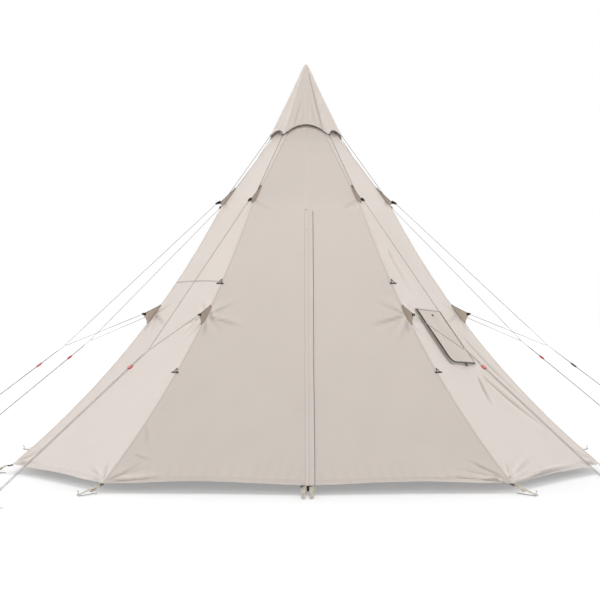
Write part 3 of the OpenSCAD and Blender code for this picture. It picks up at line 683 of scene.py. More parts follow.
@dataclass
class ClothRelief:
    """The tension folds of the canopy, facet by facet, with depths in metres."""

    form: TentForm
    slack: float = 0.009
    wave_depth: float = 0.0024
    ripple_depth: float = 0.0010
    pucker_depth: float = 0.0011
    tuck_depth: float = 0.0009
    hem_lift: float = 0.010
    front_hem_lift: ClassVar[dict[int, float]] = {0: 0.020, 9: 0.022}
    creases: dict[int, list[Crease]] = field(default_factory=dict)

    def add(self, i: int, *folds: Crease) -> None:
        """Adds folds to facet i."""
        self.creases.setdefault(i % 10, []).extend(folds)

    def fan(
        self, i: int, at: Pair, reach: float, angles: Sequence[float], width: float, depth: float
    ) -> None:
        """Adds folds that spread from one point.

        Args:
            i: the facet.
            at: the way across and the height of the point that pulls.
            reach: the folds' length.
            angles: their directions in degrees, 0 across the facet and 90 up it.
            width: their half width.
            depth: their depth.
        """
        wide = self.form.width(i, at[1])
        steep = (self.form.run(at[1] + 0.05) - self.form.run(at[1] - 0.05)) / 0.1
        for n, angle in enumerate(angles):
            far = reach * (1.0 - 0.18 * (n % 3))
            end_u = at[0] + far * math.cos(math.radians(angle)) / wide
            end_z = at[1] + far * math.sin(math.radians(angle)) / steep
            self.add(i, Crease(at, (end_u, end_z), width, depth * (1 if n % 2 == 0 else -0.7)))

    def scallop(self, i: int, u: np.ndarray) -> np.ndarray:
        """How far the hem of facet i lifts between its straps."""
        return self.front_hem_lift.get(i % 10, self.hem_lift) * np.sin(math.pi * u) ** 1.5

    def lift(self, i: int, u: np.ndarray, z: np.ndarray) -> np.ndarray:
        """How far the cloth of facet i stands out at each point.

        Args:
            i: the facet.
            u: the way across it.
            z: the height above the hem.

        Returns:
            The distances, in metres.
        """
        wide = self.form.width(i, z)
        across, up = (u - 0.5) * wide, self.form.run(z)
        belly = 4 * u * (1 - u)
        wave = np.sin(7.3 * across + 1.7 * i + 2.1 * up) * np.sin(3.1 * up + 0.9 * i)
        ripple = np.sin(17.0 * across - 4.3 * up + 2.3 * i) * np.sin(5.7 * up - 3.0 * across + i)
        out = belly * (self.wave_depth * wave + self.ripple_depth * ripple - self.slack * wide)
        for fold in self.creases.get(i % 10, []):
            out = out - self.fold_depth(fold, i, across, up)
        edge = np.minimum(u, 1 - u) * wide
        pucker = np.sin(up * 118 + 2.0 * np.sin(9 * up + i)) * np.sin(up * 31 + i)
        out = out + self.pucker_depth * pucker * np.exp(-edge / 0.035) * (z < 2.2)
        tuck = np.sin(across * 88 + 1.5 * np.sin(6 * across + i)) * np.exp(-np.abs(z - 0.03) / 0.05)
        return (out + self.tuck_depth * tuck) * smooth_step(0.006, 0.030, edge)

    def fold_depth(self, fold: Crease, i: int, across: np.ndarray, up: np.ndarray) -> np.ndarray:
        """How deep one fold is at each point of a facet.

        Args:
            fold: the fold.
            i: the facet.
            across: the points' way across the facet, in metres from its middle line.
            up: their way up it, in metres of cloth.

        Returns:
            The depths, in metres.
        """
        start, end = [
            np.array([(u - 0.5) * self.form.width(i, z), self.form.run(z)])
            for u, z in (fold.start, fold.end)
        ]
        long = float(np.hypot(*(end - start)))
        course = (end - start) / long
        side, rise = across - start[0], up - start[1]
        way = (side * course[0] + rise * course[1]) / long
        off = rise * course[0] - side * course[1]
        x = off / (fold.width * (0.55 + 0.9 * np.clip(way, 0, 1.2)))
        held = smooth_step(-0.06, 0.10, way) * (1 - smooth_step(0.35, 1.05, way))
        return fold.depth * held * (np.exp(-x * x) - 0.45 * np.exp(-((x - 1.5) ** 2)))


@dataclass
class Skin:
    """The canopy's outer face: its main shape with the folds of the cloth on it."""

    form: TentForm
    relief: ClothRelief

    def point(self, i: int, u: np.ndarray, z: np.ndarray, lift: Numbers = 0.0) -> np.ndarray:
        """Points on the cloth of facet i.

        Args:
            i: the facet.
            u: the way across it.
            z: the height above the hem.
            lift: how far a point stands out of the cloth.

        Returns:
            The points.
        """
        u, z = np.broadcast_arrays(np.asarray(u, float), np.asarray(z, float))
        raised = z + self.relief.scallop(i, u) * np.clip(1 - z / 0.35, 0, 1) ** 2
        return self.form.on_facet(i, u, raised, self.relief.lift(i, u, z) + lift)

    def net(
        self, facets: Sequence[int], z: np.ndarray, cell: float, lift: Numbers = 0.0
    ) -> tuple[np.ndarray, np.ndarray]:
        """A net over several neighbouring facets, each sharing its edge with the next.

        Args:
            facets: the facets, anticlockwise.
            z: the heights of its rows.
            cell: the longest step across, at the hem.
            lift: how far each row stands out of the cloth.

        Returns:
            The points, and the cloth's own coordinates.
        """
        points, lay = [], []
        rise = np.broadcast_to(np.asarray(lift, float), z.shape)[:, None]
        for i in facets:
            steps = max(2, math.ceil(self.form.width(i, z[0]) / cell))
            u, high = np.meshgrid(np.linspace(0, 1, steps + 1), z)
            part = self.point(i, u, high, rise)
            cloth = self.form.lay(i, u, high)
            if points:
                points[-1][:, -1] = (points[-1][:, -1] + part[:, 0]) / 2
                part, cloth = part[:, 1:], cloth[:, 1:]
            points.append(part)
            lay.append(cloth)
        return np.concatenate(points, axis=1), np.concatenate(lay, axis=1)


def tension_folds(form: TentForm) -> ClothRelief:
    """The folds that the gussets, the straps and the door pull into the cloth.

    Args:
        form: the canopy's shape.

    Returns:
        The folds of every facet.
    """
    relief = ClothRelief(form)
    upper, lower = GUSSET_ROWS[Level.UPPER].pull_z, GUSSET_ROWS[Level.LOWER].pull_z
    for i in range(10):
        deep = 1.0 if i == 1 else 1.7
        fans = (
            (lower, 0.30, -1, (18, 52, 74), 0.016, 0.0048 * deep),
            (lower, 0.22, 1, (35, 68), 0.014, 0.0034 * deep),
            (upper, 0.18, -1, (30, 66), 0.012, 0.0030 * deep),
            (0.004, 0.42, 1, (9, 24, 48), 0.018, 0.0075),
        )
        for corner, at, turn, start in ((i, 0.0, 1, 0), (i + 1, 1.0, -1, 180)):
            if corner % 10 not in form.ridges:
                continue
            for z, reach, way, angles, width, depth in fans:
                relief.fan(i, (at, z), reach, [start + way * turn * a for a in angles], width, depth)
    for i, folds in PULLED_FOLDS.items():
        relief.add(i, *folds)
    return relief


# ---- finishes


class Nodes:
    """A small hand for wiring the nodes of a material, or of a world."""

    def __init__(self, name: str, world: bool = False) -> None:
        """Starts a material with a plain surface shader, or a world with a plain background."""
        self.owner = (bpy.data.worlds if world else bpy.data.materials).new(name)
        self.owner.use_nodes = True
        self.tree = self.owner.node_tree
        self.shader = self.tree.nodes["Background" if world else "Principled BSDF"]
        self.x = -200

    def add(self, kind: str, **inputs: object) -> bpy.types.Node:
        """Adds a node and sets its inputs or links them.

        Args:
            kind: the node's Blender type.
            inputs: values or output sockets by input name, with _ for a space.

        Returns:
            The node.
        """
        node = self.tree.nodes.new(kind)
        self.x -= 180
        node.location = (self.x, 0)
        for key, value in inputs.items():
            self.put(node, key.replace("_", " "), value)
        return node

    def put(self, node: bpy.types.Node, key: str | int, value: object) -> None:
        """Sets one input of a node, or links an output to it."""
        socket = node.inputs[key]
        if isinstance(value, Socket):
            self.tree.links.new(value, socket)
        else:
            socket.default_value = value

    def surface(self, **inputs: object) -> None:
        """Sets or links inputs of the shader, with _ for a space."""
        for key, value in inputs.items():
            self.put(self.shader, key.replace("_", " "), value)

    def place(self) -> Socket:
        """The piece's Object coordinates."""
        return self.add("ShaderNodeTexCoord").outputs["Object"]

    def seen(self) -> Socket:
        """1 for a ray from the camera or a glossy surface, and 0 for any other."""
        path = self.add("ShaderNodeLightPath").outputs
        return self.maths("MAXIMUM", path["Is Camera Ray"], path["Is Glossy Ray"])

    def noise(self, vector: object, scale: float, detail: float, **inputs: float) -> Socket:
        """The strength of a noise of one scale and detail."""
        node = self.add("ShaderNodeTexNoise", Vector=vector, Scale=scale, Detail=detail, **inputs)
        return node.outputs["Fac"]

    def waves(self, vector: object, scale: float, way: str, **inputs: float) -> Socket:
        """The strength of waves that follow each other in one direction."""
        node = self.add("ShaderNodeTexWave", Vector=vector, Scale=scale, **inputs)
        node.bands_direction = way
        return node.outputs["Fac"]

    def maths(self, kind: str, a: object, b: object = 0.0) -> Socket:
        """The result of one sum on two numbers or sockets."""
        node = self.tree.nodes.new("ShaderNodeMath")
        node.operation = kind
        self.put(node, 0, a)
        self.put(node, 1, b)
        return node.outputs[0]

    def mix(self, factor: object, a: object, b: object) -> Socket:
        """A mix of two colours."""
        node = self.tree.nodes.new("ShaderNodeMix")
        node.data_type = "RGBA"
        self.put(node, 0, factor)
        for index, value in ((6, a), (7, b)):
            self.put(node, index, value if isinstance(value, Socket) else (*value, 1.0))
        return node.outputs[2]

    def bump(self, height: object, strength: float, distance: float, under: object = None) -> Socket:
        """A bump normal from a height."""
        node = self.tree.nodes.new("ShaderNodeBump")
        node.inputs["Strength"].default_value = strength
        node.inputs["Distance"].default_value = distance
        self.put(node, "Height", height)
        if under is not None:
            self.put(node, "Normal", under)
        return node.outputs[0]


def srgb(red: int, green: int, blue: int) -> Colour:
    """A colour given in 0 to 255, as linear light."""
    return tuple(
        c / 255 / 12.92 if c / 255 <= 0.04045 else ((c / 255 + 0.055) / 1.055) ** 2.4
        for c in (red, green, blue)
    )


def shaded(colour: Colour, share: float) -> Colour:
    """A colour made darker, or lighter up to white, by a share."""
    return tuple(min(1.0, c * share) for c in colour)


@dataclass(frozen=True)
class WovenCloth:
    """A woven cloth with threads, slubs and slow shade changes.

    Args:
        name: the material's name.
        colour: its main colour.
        thread: the thread pitch in metres.
        shade: how strongly the shade wanders, from 0 to 1.
        rough: its roughness.
        crumple: the depth of its small wrinkles in metres.
        sheen: the strength of its sheen.
        lines: the dark lines along the cloth, stitching and painted shade, each as its place across,
        half its width and its depth of shade.
        fold_shade: how much painted shade a fold gets for each metre of its depth; a crest gets a painted
            highlight from it too.
    """

    name: str
    colour: Colour
    thread: float = 0.0011
    shade: float = 0.05
    rough: float = 0.82
    crumple: float = 0.0012
    sheen: float = 0.25
    lines: tuple[tuple[float, float, float], ...] = ()
    fold_shade: float = 70.0

    def build(self) -> bpy.types.Material:
        """Builds the material on the cloth's own coordinates."""
        n = Nodes(self.name)
        uv_map = n.add("ShaderNodeUVMap")
        uv_map.uv_map = "lay"
        lay, place = uv_map.outputs[0], n.place()
        pitch = math.tau / self.thread / 20
        weave = n.maths("MAXIMUM", *(n.waves(lay, pitch, way, Distortion=0.6, Detail=1.0) for way in "XY"))
        n.surface(
            Base_Color=self.with_stitches_and_painted_shade(n, lay, self.folded(n, self.woven(n, lay, place, weave))),
            Roughness=self.rough,
            Sheen_Weight=self.sheen,
            Sheen_Roughness=0.45,
            Specular_IOR_Level=0.25,
            Normal=self.wrinkled(n, lay, place, weave),
        )
        return n.owner

    def woven(self, n: Nodes, lay: object, place: object, weave: object) -> Socket:
        """The cloth's colour with slow clouds, the gaps between its threads, and its slubs."""
        cloud = n.noise(place, 2.6, 4.0, Roughness=0.55)
        patch = n.noise(place, 11.0, 3.0, Roughness=0.6)
        slub = n.noise(lay, 420.0, 2.0, Roughness=0.7)
        base = n.mix(cloud, shaded(self.colour, 1 - self.shade), shaded(self.colour, 1 + 0.6 * self.shade))
        base = n.mix(n.maths("MULTIPLY", patch, 0.35), base, self.colour)
        gap = n.maths("MULTIPLY", n.maths("SUBTRACT", 1.0, weave), 0.16)
        base = n.mix(gap, base, shaded(self.colour, 0.55))
        fleck = n.maths("MULTIPLY", n.maths("GREATER_THAN", slub, 0.63), 0.10)
        return n.mix(fleck, base, shaded(self.colour, 0.75))

    def folded(self, n: Nodes, base: object) -> Socket:
        """The colour with painted shade in its folds and a painted highlight on its crests."""
        fold = n.add("ShaderNodeAttribute")
        fold.attribute_name = "fold"
        depth = n.maths("MULTIPLY", fold.outputs["Fac"], self.fold_shade)
        deep = n.maths("MINIMUM", n.maths("MAXIMUM", depth, 0.0), 0.5)
        # painted shade: the deeper a fold, the nearer its colour comes to 40 percent of the cloth's
        base = n.mix(deep, base, shaded(self.colour, 0.40))
        # painted highlight: crests are lightened towards 130 percent of the cloth's colour
        crest = n.maths("MINIMUM", n.maths("MAXIMUM", n.maths("MULTIPLY", depth, -0.6), 0.0), 0.3)
        return n.mix(crest, base, shaded(self.colour, 1.30))

    def with_stitches_and_painted_shade(self, n: Nodes, lay: object, base: object) -> Socket:
        """The colour with the cloth's dark lines on it: stitching, and painted shade along edges."""
        if not self.lines:
            return base
        across = n.add("ShaderNodeSeparateXYZ", Vector=lay).outputs[0]
        for middle, half, dark in self.lines:
            off = n.maths("ABSOLUTE", n.maths("SUBTRACT", across, middle))
            line = n.maths("MULTIPLY", n.maths("LESS_THAN", off, half), dark)
            base = n.mix(line, base, shaded(self.colour, 0.12))
        return base

    def wrinkled(self, n: Nodes, lay: object, place: object, weave: object) -> Socket:
        """The bump of the cloth's soft folds, its tight wrinkles and its threads."""
        folds = n.noise(place, 6.5, 5.0, Roughness=0.58, Distortion=0.9)
        tight = n.noise(lay, 34.0, 3.0, Roughness=0.6, Distortion=1.4)
        first = n.bump(folds, 0.55, self.crumple * 6)
        return n.bump(weave, 0.5, self.thread * 0.35, n.bump(tight, 0.35, self.crumple, first))


@dataclass(frozen=True)
class BraidedCord:
    """A braided guy cord with dark flecks in its strands."""

    name: str
    colour: Colour
    fleck: Colour

    def build(self) -> bpy.types.Material:
        """Builds the material from object coordinates."""
        n = Nodes(self.name)
        place = n.place()
        twist = n.waves(place, 120.0, "DIAGONAL", Distortion=4.0, Detail=2.0)
        shade = n.mix(twist, shaded(self.colour, 0.72), self.colour)
        spot = n.maths("GREATER_THAN", n.noise(place, 60.0, 0.0), 0.66)
        height = n.maths("ADD", twist, n.maths("MULTIPLY", n.noise(place, 900.0, 2.0), 0.4))
        n.surface(
            Base_Color=n.mix(spot, shade, self.fleck), Roughness=0.7, Normal=n.bump(height, 0.7, 0.0005)
        )
        return n.owner


@dataclass(frozen=True)
class MouldedPlastic:
    """Moulded plastic with a fine grain."""

    name: str
    colour: Colour
    rough: float = 0.45

    def build(self) -> bpy.types.Material:
        """Builds the material from object coordinates."""
        n = Nodes(self.name)
        place = n.place()
        wear = n.noise(place, 90.0, 4.0, Roughness=0.65)
        worn = tuple(min(1.0, c * 1.5 + 0.01) for c in self.colour)
        n.surface(
            Base_Color=n.mix(n.maths("MULTIPLY", wear, 0.5), self.colour, worn),
            Roughness=n.maths("ADD", n.maths("MULTIPLY", wear, 0.2), self.rough - 0.1),
            Normal=n.bump(n.noise(place, 1400.0, 2.0), 0.25, 0.0002),
        )
        return n.owner


@dataclass(frozen=True)
class BareMetal:
    """Metal with fine draw lines and a mottled shine."""

    name: str
    colour: Colour
    rough: float = 0.35
    stretch: Point = (40.0, 40.0, 900.0)

    def build(self) -> bpy.types.Material:
        """Builds the material from object coordinates."""
        n = Nodes(self.name)
        place = n.place()
        scaled = n.add("ShaderNodeMapping", Vector=place, Scale=self.stretch)
        lines = n.noise(scaled.outputs[0], 1.0, 4.0)
        n.surface(
            Base_Color=n.mix(n.noise(place, 70.0, 4.0), shaded(self.colour, 0.8), self.colour),
            Metallic=1.0,
            Roughness=n.maths("ADD", n.maths("MULTIPLY", lines, 0.25), self.rough - 0.1),
            Normal=n.bump(lines, 0.2, 0.0002),
        )
        return n.owner


@dataclass(frozen=True)
class ZipWeave:
    """Zip tape and teeth: fine level ribs with a dull shine."""

    name: str
    colour: Colour
    pitch: float = 0.0035

    def build(self) -> bpy.types.Material:
        """Builds the material from object coordinates."""
        n = Nodes(self.name)
        place = n.place()
        ribs = n.waves(place, math.tau / self.pitch / 20, "Z")
        shade = n.mix(ribs, shaded(self.colour, 0.5), shaded(self.colour, 1.6))
        grain = n.maths("MULTIPLY", n.noise(place, 700.0, 2.0), 0.4)
        n.surface(
            Base_Color=n.mix(grain, shade, self.colour), Roughness=0.55, Normal=n.bump(ribs, 0.8, 0.0006)
        )
        return n.owner


@dataclass
class Finishes:
    """Every finish of the tent, built once."""

    canvas: Colour = srgb(222, 212, 204)
    # the storm flap's dark lines: two stitch lines, and a painted shadow along its free edge at 46 mm
    flap_stitches_and_edge_shadow: ClassVar[tuple[Point, ...]] = (
        (-0.0112, 0.0013, 0.30), (0.0120, 0.0012, 0.22), (0.0462, 0.0032, 0.85),
    )
    # the ridge tapes' dark lines near both edges: their stitching, and painted shade of the gaps beside the
    # tape
    tape_stitches_and_edge_shade: ClassVar[tuple[Point, ...]] = ((-0.0094, 0.0012, 0.35), (0.0094, 0.0012, 0.35))
    made: dict[str, bpy.types.Material] = field(default_factory=dict)

    def build(self) -> None:
        """Builds the materials."""
        canvas = self.canvas
        kinds = [
            WovenCloth("canvas", canvas),
            # the cap's cloth: the canvas painted 6 percent darker as shade, with stronger painted shade in
            # its folds
            WovenCloth("cap_cloth", shaded(canvas, 0.94), crumple=0.0018, fold_shade=130.0),
            WovenCloth("seam_cloth", canvas, crumple=0.0004, lines=self.tape_stitches_and_edge_shade),
            WovenCloth("webbing_weave", srgb(206, 196, 178), thread=0.0022, crumple=0.0002, shade=0.08),
            WovenCloth("gusset_cloth", srgb(172, 157, 143), shade=0.12, crumple=0.0006),
            WovenCloth("black_binding", srgb(26, 25, 25), thread=0.0016, crumple=0.0002, sheen=0.1),
            WovenCloth("heatproof_cloth", srgb(176, 168, 158), shade=0.25, crumple=0.001),
            WovenCloth("hem_cloth", shaded(canvas, 0.93), crumple=0.0004),
            # the level seam's cloth: the canvas painted darker, as shade along the lapped seam
            WovenCloth("lapped_cloth", shaded(canvas, 0.62), crumple=0.0004),
            WovenCloth("flap_cloth", shaded(canvas, 0.98), crumple=0.0004, lines=self.flap_stitches_and_edge_shadow),
            WovenCloth("cover_cloth", srgb(208, 198, 188), shade=0.14, crumple=0.0016),
            WovenCloth("insect_mesh", srgb(45, 44, 44), thread=0.0016, crumple=0.0004),
            BraidedCord("guy_cord", srgb(150, 140, 132), srgb(96, 82, 76)),
            BraidedCord("cap_cord", srgb(84, 74, 66), srgb(50, 44, 40)),
            MouldedPlastic("black_plastic", srgb(24, 24, 25)),
            MouldedPlastic("red_tensioner", srgb(168, 34, 30), 0.4),
            MouldedPlastic("rubber_foot", srgb(30, 30, 30), 0.8),
            ZipWeave("zip_weave", srgb(30, 29, 29)),
            BareMetal("zinc_steel", srgb(176, 178, 182)),
            BareMetal("pole_metal", srgb(190, 191, 194), 0.3),
        ]
        for kind in kinds:
            self.made[kind.name] = kind.build()

    def dress(self, piece: Piece, name: str) -> None:
        """Gives a piece one finish all over."""
        piece.data.materials.clear()
        piece.data.materials.append(self.made[name])

    def fit(self, piece: Piece, finish: str, body: str, slot: str, *nodes: str) -> None:
        """Dresses a piece and says where it belongs.

        Args:
            piece: the piece.
            finish: its finish.
            body: the body that it rides on.
            slot: the record's slot that its finish comes from; not used.
            nodes: the solids that it stands for.
        """
        self.dress(piece, finish)
        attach(piece, body)
        if nodes:
            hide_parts(*nodes)


# ---- canopy


@dataclass
class Sewn:
    """A sub-assembly that lies on the canopy's skin."""

    skin: Skin
    finishes: Finishes

    @property
    def form(self) -> TentForm:
        """The canopy's main shape."""
        return self.skin.form


@dataclass
class Canopy(Sewn):
    """The canopy's panels, hem, seams and ridge tapes."""

    cell: float = 0.016
    wall: float = 0.0012
    trim_wall: float = 0.001
    top_z: float = 2.37
    cut_spare: float = 0.13
    hem_h: float = 0.025
    slot: float = 0.009
    slot_top: float = 1.724
    hinge_band: float = 0.03
    tape_half: float = 0.011
    tape_stop: float = 0.03
    seam_half: float = 0.0038
    seam_z: float = 1.222
    seam_bow: float = 0.012
    tab_line: ClassVar[tuple[Point, ...]] = (
        (0.0095, 0, 0.001), (0.0095, 0, 0.004), (0.006, 0, 0.011), (0.003, 0, 0.018),
    )
    panels: tuple[tuple[str, tuple[int, ...]], ...] = (
        ("panel_rear", (4, 5)), ("panel_left_rear", (6,)), ("panel_left_side", (7,)),
        ("panel_left_front", (8,)), ("panel_right_side", (2,)), ("panel_right_rear", (3,)),
    )

    @property
    def rows(self) -> np.ndarray:
        """The heights of a panel's rows, closer together at the hem."""
        near = np.linspace(0.0, 0.156, 25)
        return np.concatenate([near, np.arange(0.168, self.top_z - 0.008, 0.0155), [self.top_z]])

    def declare(self, piece: Piece, wide: float, points: np.ndarray) -> None:
        """Works out the length of a panel's slope with what is turned in."""
        long = self.form.run(self.top_z) + self.cut_spare

    def panel(
        self, name: str, facets: Sequence[int], window: Optional[Callable[[Vector], bool]] = None
    ) -> None:
        """Makes one fixed panel.

        Args:
            name: the solid that it stands for.
            facets: the facets that it covers.
            window: says which of its faces are cut out.
        """
        points, lay = self.skin.net(facets, self.rows, self.cell)
        piece = cloth_grid(f"{name}_cloth", points, lay, self.wall, window=window)
        self.finishes.fit(piece, "canvas", "canopy", "canopy_fabric", name)
        self.declare(piece, sum(self.form.width(i, 0.0) for i in facets), points)

    def front_net(self, side: Side, z: np.ndarray, lift: Numbers) -> tuple[np.ndarray, np.ndarray]:
        """The net of one half of the front, with the zip's slot left open.

        Args:
            side: the half.
            z: the heights of its rows.
            lift: how far each row stands out.

        Returns:
            The points, and the cloth's own coordinates.
        """
        i = 0 if side is Side.RIGHT else 9
        wide = self.form.width(i, z)[:, None]
        bare = np.where(z < self.slot_top, self.slot, 0.0)[:, None] / wide
        steps = math.ceil(float(wide[0, 0]) / self.cell)
        way = np.linspace(0, 1, steps + 1)[None, :]
        u = bare + (1 - bare) * way if side is Side.RIGHT else (1 - bare) * way
        high = np.broadcast_to(z[:, None], u.shape)
        rise = np.broadcast_to(np.asarray(lift, float), z.shape)[:, None]
        return self.skin.point(i, u, high, rise), self.form.lay(i, u, high)

    def blend_door(self, piece: Piece, side: Side) -> None:
        """Reads the hinge line of one half of the front, and puts the piece's placement into its mesh."""
        name = f"door_{side.name.lower()}"
        hinge = next(j for j in frame["joints"] if j["name"] == f"{name}_swing")
        middle, axis = Vector(hinge["pos_m"]), Vector(hinge["axis"])
        inward = Vector((axis.z, 0, -axis.x)).normalized()
        if inward.x * side.value > 0:
            inward = -inward
        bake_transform(piece)

    def front(self, side: Side) -> None:
        """Makes one half of the front, fixed cloth and door in one, with its hem."""
        name = side.name.lower()
        z = np.sort(np.append(self.rows, [self.slot_top - 0.001, self.slot_top + 0.001]))
        points, lay = self.front_net(side, z, 0.0)
        piece = cloth_grid(f"front_{name}", points, lay, self.wall)
        self.finishes.dress(piece, "canvas")
        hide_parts(f"panel_front_{name}", f"door_{name}")
        self.blend_door(piece, side)
        self.declare(piece, self.form.width(0, 0.0), points)
        points, lay = self.front_net(side, *self.hem_rows())
        band = cloth_grid(f"hem_front_{name}", points, lay, self.trim_wall)
        self.finishes.dress(band, "hem_cloth")
        self.blend_door(band, side)

    def hem_rows(self) -> tuple[np.ndarray, np.ndarray]:
        """The heights of the hem's fold, and how far each stands out."""
        top = self.hem_h
        return (
            np.array([-0.0015, 0.0, 0.004, 0.012, top - 0.003, top, top + 0.0008]),
            np.array([-0.0008, 0.0012, 0.0022, 0.0019, 0.0017, 0.0014, 0.0003]),
        )

    def hem(self) -> None:
        """Makes the webbing round the hem from one side of the front to the other."""
        z, lift = self.hem_rows()
        points, lay = self.skin.net(range(1, 9), z, self.cell * 1.5, lift)
        piece = cloth_grid("hem_band", points, lay, self.trim_wall)
        self.finishes.fit(piece, "hem_cloth", "canopy", "webbing", "hem_webbing")

    def seam_tape(self, i: int, low: float, high: float, name: str, crest: float) -> Piece:
        """Makes the tape over plan corner i.

        Args:
            i: the plan corner.
            low: where the tape starts above the hem.
            high: where it ends.
            name: the piece's name.
            crest: how far its fold stands out over the corner.

        Returns:
            The tape.
        """
        form = self.form
        z = np.linspace(low, high, max(8, round((high - low) / 0.02)))
        sides = np.array([-1.0, -0.96, -0.55, -0.18, 0.0, 0.18, 0.55, 0.96, 1.0]) * self.tape_half
        rise = np.array([0.0002, 0.0012, 0.0014, 0.0016, crest, 0.0016, 0.0014, 0.0012, 0.0002])
        lump = 0.0004 * np.sin(z * 61 + i) * np.sin(z * 23 + 2 * i)
        net = np.zeros((len(z), len(sides), 3))
        for k, (s, lift) in enumerate(zip(sides, rise)):
            facet = (i if s >= 0 else i - 1) % 10
            u = np.abs(s) / form.width(facet, z)
            net[:, k] = self.skin.point(facet, u if s >= 0 else 1 - u, z, lift + lump)
        middle = len(sides) // 2
        other = self.skin.point((i - 1) % 10, np.ones_like(z), z, rise[middle] + lump)
        net[:, middle] = (net[:, middle] + other) / 2
        return cloth_grid(name, net, strip_lay(sides, form.run(z)), self.trim_wall)

    def toggle_tab(self, i: int, z: float) -> Piece:
        """Makes the tab that holds the toggle on ridge i at a height."""
        base = self.form.on_ridge(i, z)
        side = base.to_3x3() @ Vector((0, 1, 0))
        line = [base @ Vector(p) for p in self.tab_line]
        return ribbon(f"tab_{i}", line, side, 0.004, self.trim_wall)

    def ridge_tapes(self) -> None:
        """Makes the tapes over the eight ridges, with the tabs that hold the toggles."""
        low, high = self.hem_h + 0.001, self.top_z - self.tape_stop
        tapes = [self.seam_tape(i, low, high, f"tape_{i}", 0.0030) for i in self.form.ridges]
        tabs = [self.toggle_tab(i, z) for i in (1, 9) for z in Toggles.heights]
        piece = join("ridge_tapes_sewn", tapes + tabs)
        self.finishes.fit(piece, "seam_cloth", "canopy", "seam_tape", "ridge_tapes")

    def lapped_seams(self) -> None:
        """Makes the short front seam above the zip and the level seam on the left front panel."""
        high = self.top_z - self.tape_stop
        seam = self.seam_tape(0, self.slot_top - 0.004, high, "front_seam", 0.0015)
        u = np.linspace(0.0, 1.0, 60)
        z = self.seam_z + self.seam_bow * np.sin(math.pi * u)
        steps = np.array([-1.0, -0.8, 0.0, 0.8, 1.0]) * self.seam_half
        rise = (0.0003, 0.0022, 0.0026, 0.0022, 0.0004)
        net = np.array([self.skin.point(8, u, z + step, lift) for step, lift in zip(steps, rise)])
        lay = np.stack(np.broadcast_arrays(steps[:, None], u * 0.8), axis=-1)
        level = cloth_grid("level_seam", net, lay, self.trim_wall)
        # the level seam is painted dark as shade; the front seam keeps the plain canvas
        for piece, finish in ((seam, "canvas"), (level, "lapped_cloth")):
            self.finishes.fit(piece, finish, "canopy", "seam_tape")

    def build(self, stove: "StoveFlap") -> None:
        """Makes every panel, the hem and the seams.

        Args:
            stove: the stove flap, whose window is cut in the right front panel.
        """
        for name, facets in self.panels:
            self.panel(name, facets)
        self.panel("panel_right_front", (1,), window=stove.in_window)
        for side in Side:
            self.front(side)
        self.hem()
        self.ridge_tapes()
        self.lapped_seams()
        LOG.info("canopy made: %d panels", len(self.panels) + 3)


@dataclass
class StormFlap(Sewn):
    """The flap that covers the zip, sewn to the left half of the door."""

    left: float = -0.0135
    right: float = 0.047
    top_z: float = 1.57
    low_z: float = -0.009
    peak_z: float = 1.713
    stand: float = 0.0072
    cloth_per_height: float = 1.31
    turn_in: float = 0.006

    def strip(self, name: str, low: float, high: float, cut: float) -> Piece:
        """Makes one length of the flap.

        Args:
            name: its name.
            low: its lower end above the hem.
            high: its upper end.
            cut: how far its top corner is cut off at its free edge.

        Returns:
            The flap.
        """
        form, left, stand = self.form, self.left, self.stand
        z = np.linspace(low, high, max(6, round((high - low) / 0.012)))
        x = np.array(
            [left, left + 0.002, -0.0085, -0.0045, 0.0, 0.008, 0.018, 0.028, 0.038, 0.0445, self.right]
        )
        rise = [0.0006, 0.0016, 0.0022, 0.0046, *[stand] * 5, 0.0050, 0.0036]
        net = np.zeros((len(z), len(x), 3))
        for k, (across, lift) in enumerate(zip(x, rise)):
            wave = 0.0005 * np.sin(z * 9 + 0.6 * k) + 0.0004 * np.sin(z * 33 + k)
            free = np.clip((across - 0.01) / 0.04, 0, 1)
            edge = across + free * 0.0012 * np.sin(z * 6.3) + 0.0004 * np.sin(z * 17)
            facet = 0 if across >= 0 else 9
            u = np.abs(edge) / form.width(facet, z)
            high_z = np.minimum(z, high - cut * free * smooth_step(high - 0.03, high, z))
            net[:, k] = form.on_facet(facet, u if facet == 0 else 1 - u, high_z, lift + wave * (0.3 + free))
        piece = cloth_grid(name, net, strip_lay(x, form.run(z)), 0.0016)
        self.finishes.dress(piece, "flap_cloth")
        return piece

    def build(self) -> None:
        """Makes the long flap on the door, its fixed top, and the tab at its foot."""
        flap = self.strip("storm_flap_cloth", self.low_z, self.top_z, 0.0)
        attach(flap, "door_left")
        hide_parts("storm_flap")
        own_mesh(flap)
        top = self.strip("storm_flap_top", self.top_z + 0.002, self.peak_z, 0.012)
        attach(top, "canopy")
        foot = [
            self.form.on_facet(0, np.array(0.004), np.array(z), 0.001 - 0.004 * n)[:]
            for n, z in enumerate((-0.034, -0.022, -0.008, 0.006))
        ]
        tab = ribbon("door_tab", foot, (1, 0, 0), 0.009, 0.0018, 0.0004)
        self.finishes.fit(tab, "black_binding", "door_left", "black_tape")
        LOG.info("storm flap made")


# ---- peak


@dataclass(frozen=True)
class CapFold:
    """A fold that runs up one facet of the vent cap.

    Args:
        facet: the facet.
        depth: its depth in metres; a negative one stands out.
        place: its way across the facet at the tip.
        lean: how much further across it lies at the corners' level.
        width: its half width, as a share of the facet's.
        fade: the levels, from 0 at the tip to 1 at the corners, where it starts and is whole.
    """

    facet: int
    depth: float
    place: float
    lean: float
    width: float
    fade: Pair

    def at(self, u: np.ndarray, level: np.ndarray) -> np.ndarray:
        """How deep the fold is at each point of its facet."""
        off = (u - self.place - self.lean * level) / self.width
        return self.depth * np.exp(-(off**2)) * smooth_step(*self.fade, level)


